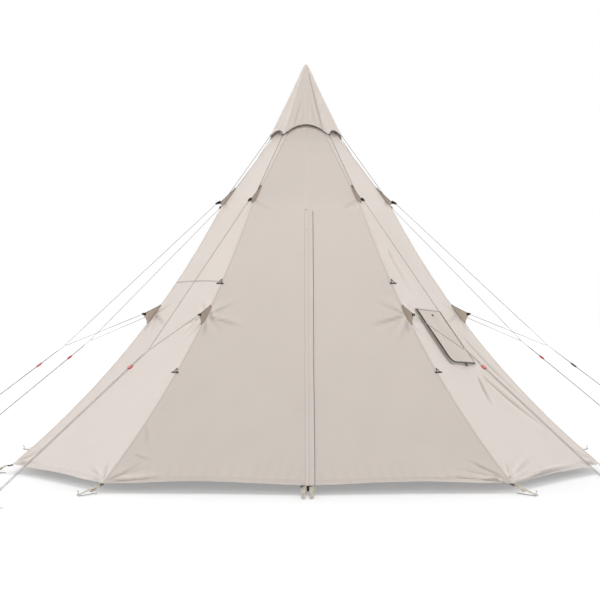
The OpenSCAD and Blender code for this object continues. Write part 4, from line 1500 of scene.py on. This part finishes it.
@dataclass
class Peak(Sewn):
    """The raised vent cap with its bound arches, the vent mesh and the crown patch."""

    height: float = 2.80
    corner_z: float = 2.27
    share: float = 0.131
    face_rise: float = 0.070
    side_rise: float = 0.035
    foot: float = 0.015
    blunt: float = 0.034
    mesh_low: float = 2.362
    mesh_high: float = 2.442
    mesh_cut: float = 0.105
    crown_high: float = 2.528
    sleeve_r: float = 0.0215
    cloth: float = 0.0016
    vent_cell: float = 0.012
    columns: int = 26
    rows: int = 44
    folds: ClassVar[tuple[CapFold, ...]] = (
        CapFold(facet=0, depth=0.0062, place=0.74, lean=0.06, width=0.055, fade=(0.04, 0.2)),
        CapFold(facet=0, depth=-0.0030, place=0.87, lean=0.03, width=0.05, fade=(0.04, 0.2)),
        CapFold(facet=0, depth=0.0028, place=0.24, lean=0.3, width=0.07, fade=(0.45, 0.8)),
        CapFold(facet=9, depth=0.0030, place=0.80, lean=-0.5, width=0.08, fade=(0.3, 0.7)),
    )
    clips: ClassVar[tuple[tuple[int, float, float], ...]] = (
        (9, 0.16, 0.0), (1, 0.02, 0.004), (8, 0.96, 0.004), (4, 0.02, 0.0), (5, 0.98, 0.0),
    )

    @property
    def drop(self) -> float:
        """The cap's height."""
        return self.height - self.corner_z

    def scale(self, z: np.ndarray) -> np.ndarray:
        """How large the plan is at a height of the cap, as a share of the hem's plan."""
        h = np.clip(self.height - z, 0, None)
        return self.share / self.drop * np.sqrt(h * h + 2 * self.blunt * h * np.exp(-h / 0.12))

    def edge_z(self, i: int, u: np.ndarray) -> np.ndarray:
        """The height of the cap's lower edge along facet i."""
        a, b = self.form.edge(i)
        wide = float(np.linalg.norm(b - a))
        face = i in (0, 9, 4, 5)
        half = (wide if face else wide / 2) * self.share - self.foot
        rise = self.face_rise if face else self.side_rise
        radius = (half**2 + rise**2) / 2 / rise
        middle = {0: 0.0, 5: 0.0, 9: 1.0, 4: 1.0}.get(i, 0.5)
        z = np.full_like(u, self.corner_z)
        for _ in range(8):
            x = np.abs(u - middle) * wide * self.scale(z)
            arch = self.corner_z + rise - radius + np.sqrt(np.clip(radius**2 - x**2, 0, None))
            z = np.where(x < half, np.maximum(arch, self.corner_z), self.corner_z)
        return z

    def lift(self, i: int, u: np.ndarray, z: np.ndarray, low: np.ndarray) -> np.ndarray:
        """How far the cap's cloth stands out of its facets, in metres."""
        h = (self.height - z) / self.drop
        out = -0.0035 * 4 * u * (1 - u) * h
        out = out + 0.0012 * np.sin(19 * u + 3 * i + 5 * h) * np.sin(11 * h + i) * h
        near = np.exp(-(z - low) / 0.05)
        out = out + 0.0013 * near * np.sin(34 * u + 2.3 * i) * (0.4 + 0.6 * np.sin(9 * u + i))
        for fold in self.folds:
            if fold.facet == i:
                out = out - fold.at(u, h)
        return out * smooth_step(0.0, 0.06, np.minimum(u, 1 - u) + 0.012)

    def ring(self, i: int) -> tuple[np.ndarray, np.ndarray]:
        """The cap's net over facet i, from its lower edge to the tip.

        Args:
            i: the facet.

        Returns:
            The points, and the cloth's own coordinates.
        """
        form = self.form
        u = np.linspace(0, 1, self.columns + 1)[None, :]
        climb = np.linspace(0, 1, self.rows + 1)[:, None] ** 0.85
        low = self.edge_z(i, np.broadcast_to(u, (1, self.columns + 1)))
        z = low + (self.height - low) * climb
        a, b = form.edge(i)
        across = np.broadcast_to(u, z.shape)
        flat = self.scale(z)[..., None] * (a * (1 - across[..., None]) + b * across[..., None])
        turn = form.turn(i)
        away = np.array([math.cos(turn), math.sin(turn), 0.3])
        out = self.lift(i, across, z, np.broadcast_to(low, z.shape))[..., None] * away
        points = np.concatenate([flat, (z + form.hem_gap)[..., None]], axis=-1) + out
        side = (across - 0.5) * np.linalg.norm(b - a) * self.scale(z)
        cloth = np.stack([side + 3.0 * i, z * 1.1], axis=-1)
        return points, cloth

    def cap(self) -> None:
        """Makes the cap as one curved sheet, with its bound edge and its clips."""
        nets = [self.ring(i) for i in range(10)]
        points = np.concatenate([nets[0][0]] + [p[:, 1:] for p, _ in nets[1:]], axis=1)
        lay = np.concatenate([nets[0][1]] + [c[:, 1:] for _, c in nets[1:]], axis=1)
        points[:, -1] = points[:, 0]
        points[-1] = (0, 0, self.height + self.form.hem_gap)
        cap = cloth_grid("vent_cap_cloth", points, lay, self.cloth, closed=True)
        self.finishes.fit(cap, "cap_cloth", "canopy", "canopy_fabric", "vent_cap")
        rim = points[0][:-1]
        out = rim * (1, 1, 0)
        out = out / np.linalg.norm(out, axis=1)[:, None]
        line = [tuple(p) for p in rim + out * 0.0010]
        edge = tube_mesh("cap_edge", line, 0.0024, ring=[1.0] * len(line))
        clips = []
        for i, u, drop in self.clips:
            spot = Vector(nets[i][0][0, round(u * self.columns)])
            away = Vector((spot.x, spot.y, 0)).normalized()
            bar = turned_bar(f"clip_{i}", 0.0045, 0.016, 0.003, 0.7)
            turn = Matrix.Rotation(math.atan2(away.y, away.x) + math.pi / 2, 4, "Z")
            clips.append(placed(bar, Matrix.Translation(spot + away * 0.004 - Vector((0, 0, drop))) @ turn))
        binding = join("cap_binding_wire", [edge, *clips])
        self.finishes.fit(binding, "black_plastic", "canopy", "black_tape", "cap_binding")

    def vent(self) -> None:
        """Makes the insect mesh and the crown patch with the pole's sleeve."""
        z = np.linspace(self.mesh_low, self.mesh_high, 9)
        points, lay = self.skin.net(range(10), z, self.vent_cell, -0.002)
        points[:, -1] = points[:, 0]
        mesh = cloth_grid("vent_mesh_cloth", points, lay, 0.0006, closed=True)
        self.finishes.fit(mesh, "insect_mesh", "canopy", "mesh_fabric", "vent_mesh")
        z = np.linspace(self.mesh_high - 0.006, self.crown_high, 10)
        skirt, lay = self.skin.net(range(10), z, self.vent_cell, -0.001)
        skirt[:, -1] = skirt[:, 0]
        way = np.arctan2(skirt[-1, :, 1], skirt[-1, :, 0])
        sleeve = self.sleeve_r
        rings = [skirt]
        for radius, rise in ((0.030, 0.002), (sleeve + 0.003, 0.004), (sleeve, 0.010), (sleeve, 0.020)):
            high = np.full_like(way, self.crown_high + self.form.hem_gap + rise)
            rings.append(np.stack([radius * np.cos(way), radius * np.sin(way), high], axis=-1)[None])
        net = np.concatenate(rings, axis=0)
        more = lay[-1:] + np.arange(1, 5)[:, None, None] * np.array([0, 0.008])
        crown = cloth_grid("crown_patch", net, np.concatenate([lay, more]), self.cloth, closed=True)
        self.finishes.fit(crown, "gusset_cloth", "canopy", "gusset_fabric", "crown")

    def build(self) -> None:
        """Makes the cap, the vent and the crown."""
        self.cap()
        self.vent()
        LOG.info("cap made")


# ---- gussets and toggles


@dataclass
class Gussets(Sewn):
    """The folded cloth gussets on the ridges that the guy lines pull on."""

    half_h: float = 0.060
    wing: float = 0.017
    cloth: float = 0.0009
    root_r: float = 0.0030
    edge_r: float = 0.0016

    def reach_at(self, i: int, level: Level, z: float) -> float:
        """How far the gusset stands out of ridge i at a height."""
        form, row = self.form, GUSSET_ROWS[level]
        low, high = row.middle - self.half_h, row.middle + self.half_h
        above = z > row.tip_z
        near = form.ridge_out(i, high if above else low)
        part = (high - z) / (high - row.tip_z) if above else (z - low) / max(1e-6, row.tip_z - low)
        line = near + (row.tip_out(form, i) - near) * part - form.ridge_out(i, z)
        return row.slim * max(0.0, line) * (1 - 0.10 * math.sin(math.pi * min(1.0, part)))

    def gusset(self, i: int, level: Level) -> Piece:
        """Makes one gusset.

        Args:
            i: the ridge.
            level: its row.

        Returns:
            The gusset: a folded fin with a wing sewn down on each side of the ridge.
        """
        form, row = self.form, GUSSET_ROWS[level]
        below = np.linspace(row.middle - self.half_h, row.tip_z, 6)
        above = np.linspace(row.tip_z, row.middle + self.half_h, 10)
        z = np.unique(np.concatenate([below, above]))
        shares = (0.0, 0.2, 0.5, 0.8, 1.0, 0.8, 0.5, 0.2, 0.0)
        away = form.away(i)
        side = np.array([-away[1], away[0], 0.0])
        net = np.zeros((len(z), len(shares) + 6, 3))
        lay = np.zeros((len(z), len(shares) + 6, 2))
        for r, high in enumerate(z):
            out = self.reach_at(i, level, float(high))
            ridge = form.ridge_point(i, high)
            fade = math.sin(math.pi * r / (len(z) - 1)) ** 0.5
            for k, s in enumerate((1.0, 0.55, 0.2)):
                wing = self.wing * (0.45 + 0.55 * fade) * s
                for column, facet, u in ((k, (i - 1) % 10, -1), (len(shares) + 5 - k, i, 1)):
                    part = wing / form.width(facet, high)
                    where = np.array([part if u > 0 else 1 - part])
                    net[r, column] = self.skin.point(facet, where, high, 0.0036 - 0.0012 * s)[0]
            for k, s in enumerate(shares):
                half = (0.0030 * (1 - s) + 0.0012) * (-1 if k < 4 else 1 if k > 4 else 0)
                bend = 0.0016 * math.sin(9 * s + 2.0 * i) * s
                net[r, 3 + k] = ridge + away * (0.004 + out * s) + side * (half + bend)
            lay[r, :, 0] = [0.0] * 3 + [out * s for s in shares] + [0.0] * 3
            lay[r, :, 1] = high
        return cloth_grid(f"gusset_{i}", net, lay, self.cloth)

    def piping(self, i: int, level: Level) -> Piece:
        """Makes the dark cord sewn along a gusset's root and its upper edge."""
        form, row = self.form, GUSSET_ROWS[level]
        low, high = row.middle - self.half_h - 0.004, row.middle + self.half_h + 0.004
        away = form.away(i)
        root = [tuple(form.ridge_point(i, z) + away * 0.0056) for z in np.linspace(low, high, 16)]
        edge = [
            tuple(form.ridge_point(i, z) + away * (0.0046 + self.reach_at(i, level, float(z))))
            for z in np.linspace(row.tip_z, high, 14)
        ]
        cords = [tube_mesh("root", root, self.root_r), tube_mesh("edge", edge, self.edge_r)]
        return join(f"piping_{i}", cords)

    def tip(self, i: int, level: Level) -> Piece:
        """Makes the dark webbing that grips a gusset's tip and its ring."""
        form, row = self.form, GUSSET_ROWS[level]
        away = Vector(form.away(i))
        side = Vector((-away.y, away.x, 0.0))
        tip = away * row.tip_out(form, i) + Vector((0, 0, form.hem_gap + row.tip_z))
        back = (away * -0.9 + Vector((0, 0, row.tip_lean))).normalized()
        lead = tip - back * 0.002
        half = (
            (row.tip_long, 0.0030, 0.009), (0.010, 0.0032, 0.008),
            (0.0, 0.0022, 0.0062), (-0.0016, 0.0, 0.0056),
        )
        spots = [*half, *((far, -off, wide) for far, off, wide in half[-2::-1])]
        line = [(lead + back * far + side * off)[:] for far, off, _ in spots]
        wide = np.array([wide for _, _, wide in spots])
        return ribbon(f"tip_{i}", line, back.cross(side), wide, 0.0010)

    def build(self) -> None:
        """Makes the gussets and their tips."""
        for level in Level:
            cloth = join(f"{level.value}_gusset_cloth", [self.gusset(i, level) for i in self.form.ridges])
            dark = [make(i, level) for make in (self.tip, self.piping) for i in self.form.ridges]
            tips = join(f"{level.value}_gusset_tips", dark)
            node = f"{level.value}_gussets"
            self.finishes.fit(cloth, "gusset_cloth", "canopy", "gusset_fabric", node)
            self.finishes.fit(tips, "black_binding", "canopy", "black_tape", node)
        LOG.info("gussets made")


@dataclass
class Toggles(Sewn):
    """The four tie-back toggles on the front ridges."""

    heights: ClassVar[Pair] = (1.233, 0.656)
    drop: float = 0.034
    axis_out: float = 0.0085
    loop_r: float = 0.0026
    bar_r: float = 0.0056
    bar_long: float = 0.050

    def loop(self, side: int) -> Piece:
        """Makes the half of a toggle's cord loop on one side, -1 or 1."""
        out = self.axis_out
        line = [
            (out, 0.0, 0.0016),
            (out, 0.004 * side, -0.006),
            (out, 0.012 * side, -self.drop + 0.002),
            (out + 0.0006, 0.0125 * side, -self.drop),
        ]
        return tube_mesh(f"loop_{side}", line, self.loop_r)

    def build(self) -> None:
        """Makes one toggle and copies it to each of its places."""
        cords = [self.loop(side) for side in (-1, 1)]
        bar = turned_bar("bar", self.bar_r, self.bar_long, 0.004, 0.82)
        spot = Matrix.Translation((self.axis_out, 0, -self.drop))
        placed(bar, spot @ Matrix.Rotation(math.pi / 2, 4, "Z"))
        master = join("toggle_master", [bar, *cords])
        for i, side in ((9, Side.LEFT), (1, Side.RIGHT)):
            for z, level in zip(self.heights, Level):
                name = f"toggle_{side.name.lower()}_{level.value}"
                toggle = placed(copy_of(master, f"{name}_loop"), self.form.on_ridge(i, z))
                self.finishes.fit(toggle, "black_plastic", name, "black_plastic", name)
        bpy.data.objects.remove(master)
        LOG.info("toggles made")


# ---- stove flap


@dataclass
class StoveFlap:
    """The heatproof stove-pipe panel on the right front facet, its cover and its strap."""

    form: TentForm
    finishes: Finishes
    z: float = 0.850
    side: float = -0.045
    turn_deg: float = 5.0
    panel: Pair = (0.330, 0.468)
    cover: Pair = (0.306, 0.444)
    window: Pair = (0.250, 0.380)
    cloth: float = 0.0022
    panel_out: float = 0.0061
    panel_t: float = 0.0030
    cover_out: float = 0.0096
    pipe_r: float = 0.050
    corner_r: float = 0.045
    binding_r: float = 0.0052
    stud_size: Pair = (0.009, 0.004)
    strap_y: float = 0.022
    strap_line: ClassVar[tuple[Pair, ...]] = (
        (0.001, -0.030), (0.003, -0.016), (0.002, -0.004), (0.001, 0.010),
    )

    @property
    def base(self) -> Matrix:
        """A frame on the facet: X out of it, Y to the right and Z up its slope."""
        a, b = self.form.edge(1)
        turn = self.form.turn(1)
        depth = float(a @ np.array([math.cos(turn), math.sin(turn)]))
        middle = float((a + b) @ np.array([-math.sin(turn), math.cos(turn)])) / 2
        share = self.form.share(self.z)
        spot = Matrix.Translation((depth * share, middle * share + self.side, self.form.hem_gap + self.z))
        lean = Matrix.Rotation(-self.form.tilt(depth, self.z), 4, "Y")
        twist = Matrix.Rotation(-math.radians(self.turn_deg), 4, "X")
        return Matrix.Rotation(turn, 4, "Z") @ spot @ lean @ twist

    def in_window(self, place: Vector) -> bool:
        """Whether a point of the panel lies in the window behind the flap."""
        spot = self.base.inverted() @ place
        return abs(spot.y) < self.window[0] / 2 and abs(spot.z) < self.window[1] / 2

    def rounded(self, y: np.ndarray, z: np.ndarray, size: Pair) -> tuple[np.ndarray, np.ndarray]:
        """Pulls a net's lower left corner in to a round."""
        half_w, half_h = size[0] / 2, size[1] / 2
        cy, cz = -half_w + self.corner_r, -half_h + self.corner_r
        dy, dz = np.minimum(y - cy, 0), np.minimum(z - cz, 0)
        far = np.hypot(dy, dz)
        square = np.maximum(np.abs(dy), np.abs(dz))
        pull = np.where(far > 1e-9, square / np.maximum(far, 1e-9), 1.0)
        inside = (dy < 0) & (dz < 0)
        return np.where(inside, cy + dy * pull, y), np.where(inside, cz + dz * pull, z)

    def cover_out_at(self, y: np.ndarray, z: np.ndarray) -> np.ndarray:
        """How far the cover's outer face stands out of the facet."""
        across, up = 2 * y / self.cover[0], 2 * z / self.cover[1]
        dome = 0.0046 * (1 - across**2) * (1 - up**4)
        creep = 0.0010 * np.sin(31 * y + 9 * z) * np.sin(17 * z - 12 * y + 1)
        fold = -0.0022 * np.exp(-(((y * 0.8 + z * 0.5 - 0.02) / 0.012) ** 2))
        fold = fold - 0.0016 * np.exp(-(((y - z * 0.5 + 0.05) / 0.015) ** 2))
        return self.cover_out + 0.0030 + dome + creep + fold * (1 - across**2) * (1 - up**2)

    def build_cover(self) -> None:
        """Makes the cover, its binding and its press stud."""
        half_w, half_h = self.cover[0] / 2, self.cover[1] / 2
        y, z = np.meshgrid(np.linspace(-half_w, half_w, 38), np.linspace(-half_h, half_h, 50))
        y, z = self.rounded(y, z, self.cover)
        net = np.stack([self.cover_out_at(y, z), y, z], axis=-1)
        cover = cloth_grid("stove_cover_cloth", net, np.stack([y, z], axis=-1), self.cloth)
        placed(cover, self.base)
        self.finishes.fit(cover, "cover_cloth", "stove_cover", "canopy_fabric", "stove_cover")
        rim = np.concatenate([net[::-1, 0], net[0, 1:], net[1:, -1], net[-1, -2:0:-1]])
        thick = np.repeat([1.0, 1.0, 0.55, 0.34], [50, 37, 49, 36])
        rim[:, 0] -= 0.0010
        line = [tuple(p) for p in rim]
        edge = tube_mesh("cover_edge", line, self.binding_r, ring=list(thick))
        spot = (self.cover_out + 0.0040, 0.004, half_h - 0.043)
        turn = Matrix.Translation(spot) @ Matrix.Rotation(math.pi / 2, 4, "Y")
        binding = join("cover_binding", [edge, placed(stud("snap", *self.stud_size), turn)])
        placed(binding, self.base)
        self.finishes.fit(binding, "black_plastic", "stove_cover", "black_tape")

    def build_panel(self) -> None:
        """Makes the heatproof panel with its pipe hole, and the tie-down strap."""
        turns = np.linspace(0, math.tau, 97)
        half_w, half_h = self.panel[0] / 2, self.panel[1] / 2
        reach = 1 / np.maximum(np.abs(np.cos(turns)) / half_w, np.abs(np.sin(turns)) / half_h)
        outer = np.stack([reach * np.cos(turns), reach * np.sin(turns)], axis=-1)
        inner = self.pipe_r * np.stack([np.cos(turns), np.sin(turns)], axis=-1)
        steps = np.linspace(0, 1, 16)[::-1, None, None]
        flat = inner * (1 - steps) + outer * steps
        out = self.panel_out + self.panel_t - 0.0006 * (steps > 0.98)
        net = np.concatenate([np.broadcast_to(out, (*flat.shape[:2], 1)), flat], axis=-1)
        panel = cloth_grid("stove_panel_cloth", net, flat, self.cloth, closed=True)
        placed(panel, self.base)
        self.finishes.fit(panel, "heatproof_cloth", "canopy", "heatproof_fabric", "stove_panel")
        low = -self.cover[1] / 2
        line = [(self.cover_out + out, self.strap_y, low + up) for out, up in self.strap_line]
        strap = ribbon("stove_strap_web", line, (0, 1, 0), 0.0115, 0.0014, 0.0003)
        placed(strap, self.base)
        self.finishes.fit(strap, "black_binding", "canopy", "black_tape", "stove_strap")

    def build(self) -> None:
        """Makes the panel and the cover."""
        self.build_panel()
        self.build_cover()
        LOG.info("stove flap made")


# ---- hem straps


@dataclass
class HemStraps:
    """The webbing straps from the hem's buckles down to their pegs."""

    form: TentForm
    finishes: Finishes
    half_w: float = 0.0125
    web_t: float = 0.0012
    reach: float = 0.230
    high_z: float = 0.0533
    low_z: float = 0.0073
    peg_gap: float = 0.004
    buckle_end: float = 0.0385
    loop_in: float = 0.008
    door_step: float = 0.024

    def places(self) -> list[tuple[float, float, float]]:
        """Each strap's direction in radians, the hem's reach there, and its sideways step."""
        spots = [
            (math.atan2(*self.form.plan[i][::-1]), self.form.reach(i), 0.0)
            for i in self.form.ridges
        ]
        deep, step = self.form.centre_depth, self.door_step
        return [*spots, (math.pi / 2, deep, 0.0), (-math.pi / 2, deep, -step), (-math.pi / 2, deep, step)]

    def web(self, run: float) -> Piece:
        """Makes a strap's main length, from its buckle to a peg at the end of its run."""
        s = np.linspace(self.buckle_end, run - self.peg_gap, 24)
        sag = -0.0012 * np.sin(math.pi * (s - s[0]) / (s[-1] - s[0])) + 0.0004 * np.sin(s * 60)
        line = [(x, 0.0002 * math.sin(40 * x), 0.0012 + dz) for x, dz in zip(s, sag)]
        return ribbon("main", line[::-1], (0, -1, 0), self.half_w, 0.0016, 0.0003)

    def eye(self, run: float) -> Piece:
        """Makes the turn of webbing round the peg."""
        line = [
            (run + 0.0062 * math.cos(a) - 0.001, 0, 0.0012 + 0.0030 * math.sin(a))
            for a in np.linspace(1.5, -1.5, 9)
        ]
        return ribbon("eye", line, (0, 1, 0), self.half_w * 0.9, self.web_t)

    def tail(self) -> Piece:
        """Makes the loose tail, which curls and turns as it leaves the buckle."""
        line, side = [], []
        for k in range(8, -1, -1):
            x = self.buckle_end - 0.006 + 0.011 * k
            y = 0.006 * math.sin(k * 0.6) + 0.0012 * k
            line.append((x, y, 0.0042 + 0.004 * math.sin(k * 0.9) - 0.00035 * k * k))
            side.append((0.10 * math.sin(8 - k), -1.0, 0.35 * math.sin(0.5 * (8 - k))))
        return ribbon("tail", line, side, self.half_w * 0.94, self.web_t, 0.0002)

    def loop(self) -> Piece:
        """Makes the loop that holds the buckle at the hem."""
        line = [(0.008, 0, 0.0038), (0.004, 0, 0.0044), (-0.002, 0, 0.0050), (-self.loop_in, 0, 0.0054)]
        return ribbon("loop", line, (0, -1, 0), self.half_w, 0.0014, 0.0003)

    def strap(self) -> Piece:
        """Makes one strap with its loops and its loose tail, at the origin, running out along X."""
        fall = math.atan((self.high_z - self.low_z) / self.reach)
        run = self.reach / math.cos(fall)
        whole = join("strap", [self.web(run), self.eye(run), self.tail(), self.loop()])
        return placed(whole, Matrix.Translation((0, 0, self.high_z)) @ Matrix.Rotation(fall, 4, "Y"))

    def build(self) -> None:
        """Makes one strap and copies it to each of its places."""
        master = self.strap()
        copies = []
        for n, (turn, reach, step) in enumerate(self.places()):
            where = Matrix.Rotation(turn, 4, "Z") @ Matrix.Translation((reach, step, 0))
            copies.append(placed(copy_of(master, f"strap_{n}"), where))
        bpy.data.objects.remove(master)
        straps = join("hem_straps", copies)
        self.finishes.fit(straps, "webbing_weave", "canopy", "webbing", "corner_straps")
        LOG.info("hem straps made")


# ---- hard parts


@dataclass
class HardParts:
    """The tent's poles, pegs, rings, buckles, tensioners and zip, which keep their own solids."""

    finishes: Finishes
    kinds: dict[str, tuple[str, ...]] = field(
        default_factory=lambda: {
            "zinc_steel": ("gusset_rings", "guy_rings", "strap_pegs", "guy_pegs", "zip_slider"),
            "black_plastic": ("strap_buckles", "zip_pull", "pole_head", "tensioner_side_front_right"),
            "zip_weave": ("zip_tape_left", "zip_tape_right", "zip_top"),
            "pole_metal": ("pole_lower", "pole_middle", "pole_upper"),
            "rubber_foot": ("pole_foot",),
            "red_tensioner": (
                "tensioner_front_right", "tensioner_front_left",
                "tensioner_side_front_left", "tensioner_side_rear_left", "tensioner_side_rear_right",
                "tensioner_rear_right", "tensioner_rear_left",
            ),
        }
    )

    def build(self) -> None:
        """Gives each solid its finish."""
        for finish, names in self.kinds.items():
            for name in names:
                for slot in frame["nodes"][name].material_slots:
                    slot.material = self.finishes.made[finish]
            LOG.info("%s on %d parts", finish, len(names))


# ---- guy lines


@dataclass
class GuyLines:
    """The eight guy lines, each a bridle and a doubled main line, and the cap's dark cords.

    A spot of a cord is its distance from the pole, its way sideways and its height.
    """

    form: TentForm
    finishes: Finishes
    diameter: float = 0.003
    bend: float = 0.004
    ring_in: float = 0.007
    ring_long: float = 0.018
    face_join: float = 1.900
    side_join: float = 1.780
    cap_share: float = 0.131
    cap_in: float = 0.003
    cap_z: float = 2.272
    cap_cord_z: float = 1.89
    cap_cord_out: float = 0.047
    cap_cord_drop: float = 0.036
    door_line: ClassVar[tuple[Point, ...]] = (
        (1.907, 0.006, 0.851), (3.462, 0.006, 0.017), (3.470, 0, 0.013),
        (3.462, -0.006, 0.017), (1.9592, -0.006, 0.823),
    )
    rear_line: ClassVar[tuple[Point, ...]] = (
        (1.906, 0.006, 0.850), (3.032, 0.006, 0.018), (3.040, 0, 0.013),
        (3.032, -0.006, 0.018), (1.9588, -0.006, 0.811),
    )
    side_line: ClassVar[tuple[Point, ...]] = (
        (1.786, 0.006, 0.850), (2.932, 0.006, 0.018), (2.940, 0, 0.013),
        (2.932, -0.006, 0.018), (1.8383, -0.006, 0.812),
    )
    names: dict[int, str] = field(
        default_factory=lambda: {
            1: "front_right", 2: "side_front_right", 3: "side_rear_right", 4: "rear_right",
            6: "rear_left", 7: "side_rear_left", 8: "side_front_left", 9: "front_left",
        }
    )

    def is_face(self, i: int) -> bool:
        """Whether ridge i belongs to the front or rear face."""
        return i in (1, 4, 6, 9)

    def turned(self, i: int, spots: Sequence[Point]) -> list[Point]:
        """Turns spots to the direction of ridge i."""
        c, s, _ = self.form.away(i)
        return [(r * c - y * s, r * s + y * c, z) for r, y, z in spots]

    def eye(self, i: int, level: Level) -> Point:
        """The spot where a cord takes hold of a gusset's ring, at the ring's far end."""
        row = GUSSET_ROWS[level]
        fall = math.radians(row.ring_deg)
        out = row.tip_out(self.form, i) - self.ring_in + self.ring_long * math.cos(fall)
        high = self.form.hem_gap + row.tip_z + row.ring_up - self.ring_long * math.sin(fall)
        return out, 0.0, high

    def cord(
        self, name: str, route: list[Point], finish: str, node: str, end: str, pieces: list[Piece]
    ) -> None:
        """Args:
            name: the cord's name.
            route: the points of its centre line.
            finish: its finish.
            node: the solid that it stands for.
            end: what its far end is; not used.
            pieces: the separate pieces on it; not used.
        """
        cord = tube(name, route, self.diameter / 2)
        self.finishes.fit(cord, finish, "canopy", "cord", node)

    def build_line(self, i: int) -> None:
        """Makes the bridle and the main line of ridge i."""
        name = self.names[i]
        meet = self.face_join if self.is_face(i) else self.side_join
        bridle = [
            self.eye(i, Level.UPPER), (meet - 0.006, 0, 0.862), (meet - 0.008, 0, 0.852),
            self.eye(i, Level.LOWER),
        ]
        main = self.side_line
        if self.is_face(i):
            main = self.door_line if i in (1, 9) else self.rear_line
        tensioner = frame["nodes"][f"tensioner_{name}"]
        parts = (("bridle", bridle, "object", []), ("line", main, "knot", [tensioner]))
        for part, spots, end, pieces in parts:
            route = rounded_route(self.turned(i, spots), self.bend)
            self.cord(f"{part}_{name}", route, "guy_cord", f"guy_line_{name}", end, pieces)

    def build_cap_cord(self, i: int) -> None:
        """Makes the dark cord from a corner of the cap to the gusset below it."""
        form = self.form
        foot = form.ridge_out(i, self.cap_cord_z) + self.cap_cord_out
        spots = [
            (form.reach(i) * self.cap_share - self.cap_in, 0, form.hem_gap + self.cap_z),
            (foot, 0, form.hem_gap + self.cap_cord_z - self.cap_cord_drop),
        ]
        route = rounded_route(self.turned(i, spots), self.bend)
        self.cord(f"cap_cord_{self.names[i]}", route, "cap_cord", "cap_cords", "object", [])

    def build(self) -> None:
        """Makes every cord."""
        for i in self.form.ridges:
            self.build_line(i)
            self.build_cap_cord(i)
            LOG.info("guy line %s made", self.names[i])


# ---- studio


@dataclass
class Studio:
    """The floor, the soft lights and the camera."""

    camera_place: Point = (-0.043, -12.33, 1.16)
    lens: float = 102.6
    ambient: float = 0.22
    floor_glow: float = 0.31
    lamps: tuple[tuple[str, Point, float, float], ...] = (
        ("front_lamp", (-0.05, -0.99, 0.09), 2.90, 50.0),
        ("left_lamp", (-0.90, 0.42, 0.12), 1.85, 50.0),
        ("right_lamp", (0.94, 0.32, 0.12), 1.95, 50.0),
        ("back_lamp", (-0.05, 0.74, 0.67), 1.80, 60.0),
    )

    def build(self) -> None:
        """Sets the studio up."""
        self.set_camera()
        self.set_floor()
        self.set_lights()
        bpy.context.scene.view_settings.view_transform = "Standard"

    def set_camera(self) -> None:
        """Puts a level camera in front of the door."""
        data = bpy.data.cameras.new("camera")
        data.lens, data.sensor_width = self.lens, 36.0
        data.clip_end = 200.0
        camera = bpy.data.objects.new("camera", data)
        camera.location = self.camera_place
        camera.rotation_euler = (math.radians(90), 0, 0)
        bpy.context.scene.collection.objects.link(camera)
        bpy.context.scene.camera = camera

    def set_floor(self) -> None:
        """Lays a white floor that keeps the tent's shadow."""
        bpy.ops.object.select_all(action="DESELECT")
        bpy.ops.mesh.primitive_plane_add(size=120.0, location=(0, 0, 0))
        floor = bpy.context.object
        floor.name = "floor"
        n = Nodes("white_floor")
        n.surface(
            Base_Color=(0.82, 0.82, 0.82, 1),
            Roughness=0.9,
            Specular_IOR_Level=0.0,
            Emission_Color=(1, 1, 1, 1),
            Emission_Strength=n.maths("MULTIPLY", n.seen(), self.floor_glow),
        )
        floor.data.materials.append(n.owner)

    def set_lights(self) -> None:
        """Adds an even sky and four broad soft lamps, none of them straight overhead."""
        n = Nodes("studio_sky", world=True)
        bpy.context.scene.world = n.owner
        strength = n.add("ShaderNodeMapRange", Value=n.seen(), To_Min=self.ambient, To_Max=1.0)
        n.surface(Color=(1.0, 1.0, 1.0, 1.0), Strength=strength.outputs["Result"])
        for name, toward, power, size in self.lamps:
            data = bpy.data.lights.new(name, "SUN")
            data.energy = power
            data.angle = math.radians(size)
            lamp = bpy.data.objects.new(name, data)
            lamp.rotation_euler = Vector(toward).to_track_quat("Z", "Y").to_euler()
            bpy.context.scene.collection.objects.link(lamp)


# ---- assembly


def main() -> None:
    """Builds the tent's pieces in order."""
    logging.basicConfig(level=logging.INFO, format="%(name)s: %(message)s")
    form = TentForm()
    Studio().build()
    finishes = Finishes()
    finishes.build()
    GuyLines(form, finishes).build()
    skin = Skin(form, tension_folds(form))
    stove = StoveFlap(form, finishes)
    Canopy(skin, finishes).build(stove)
    StormFlap(skin, finishes).build()
    Peak(skin, finishes).build()
    Gussets(skin, finishes).build()
    Toggles(skin, finishes).build()
    stove.build()
    HemStraps(form, finishes).build()
    HardParts(finishes).build()
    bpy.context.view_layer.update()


if __name__ == "__main__":
    main()
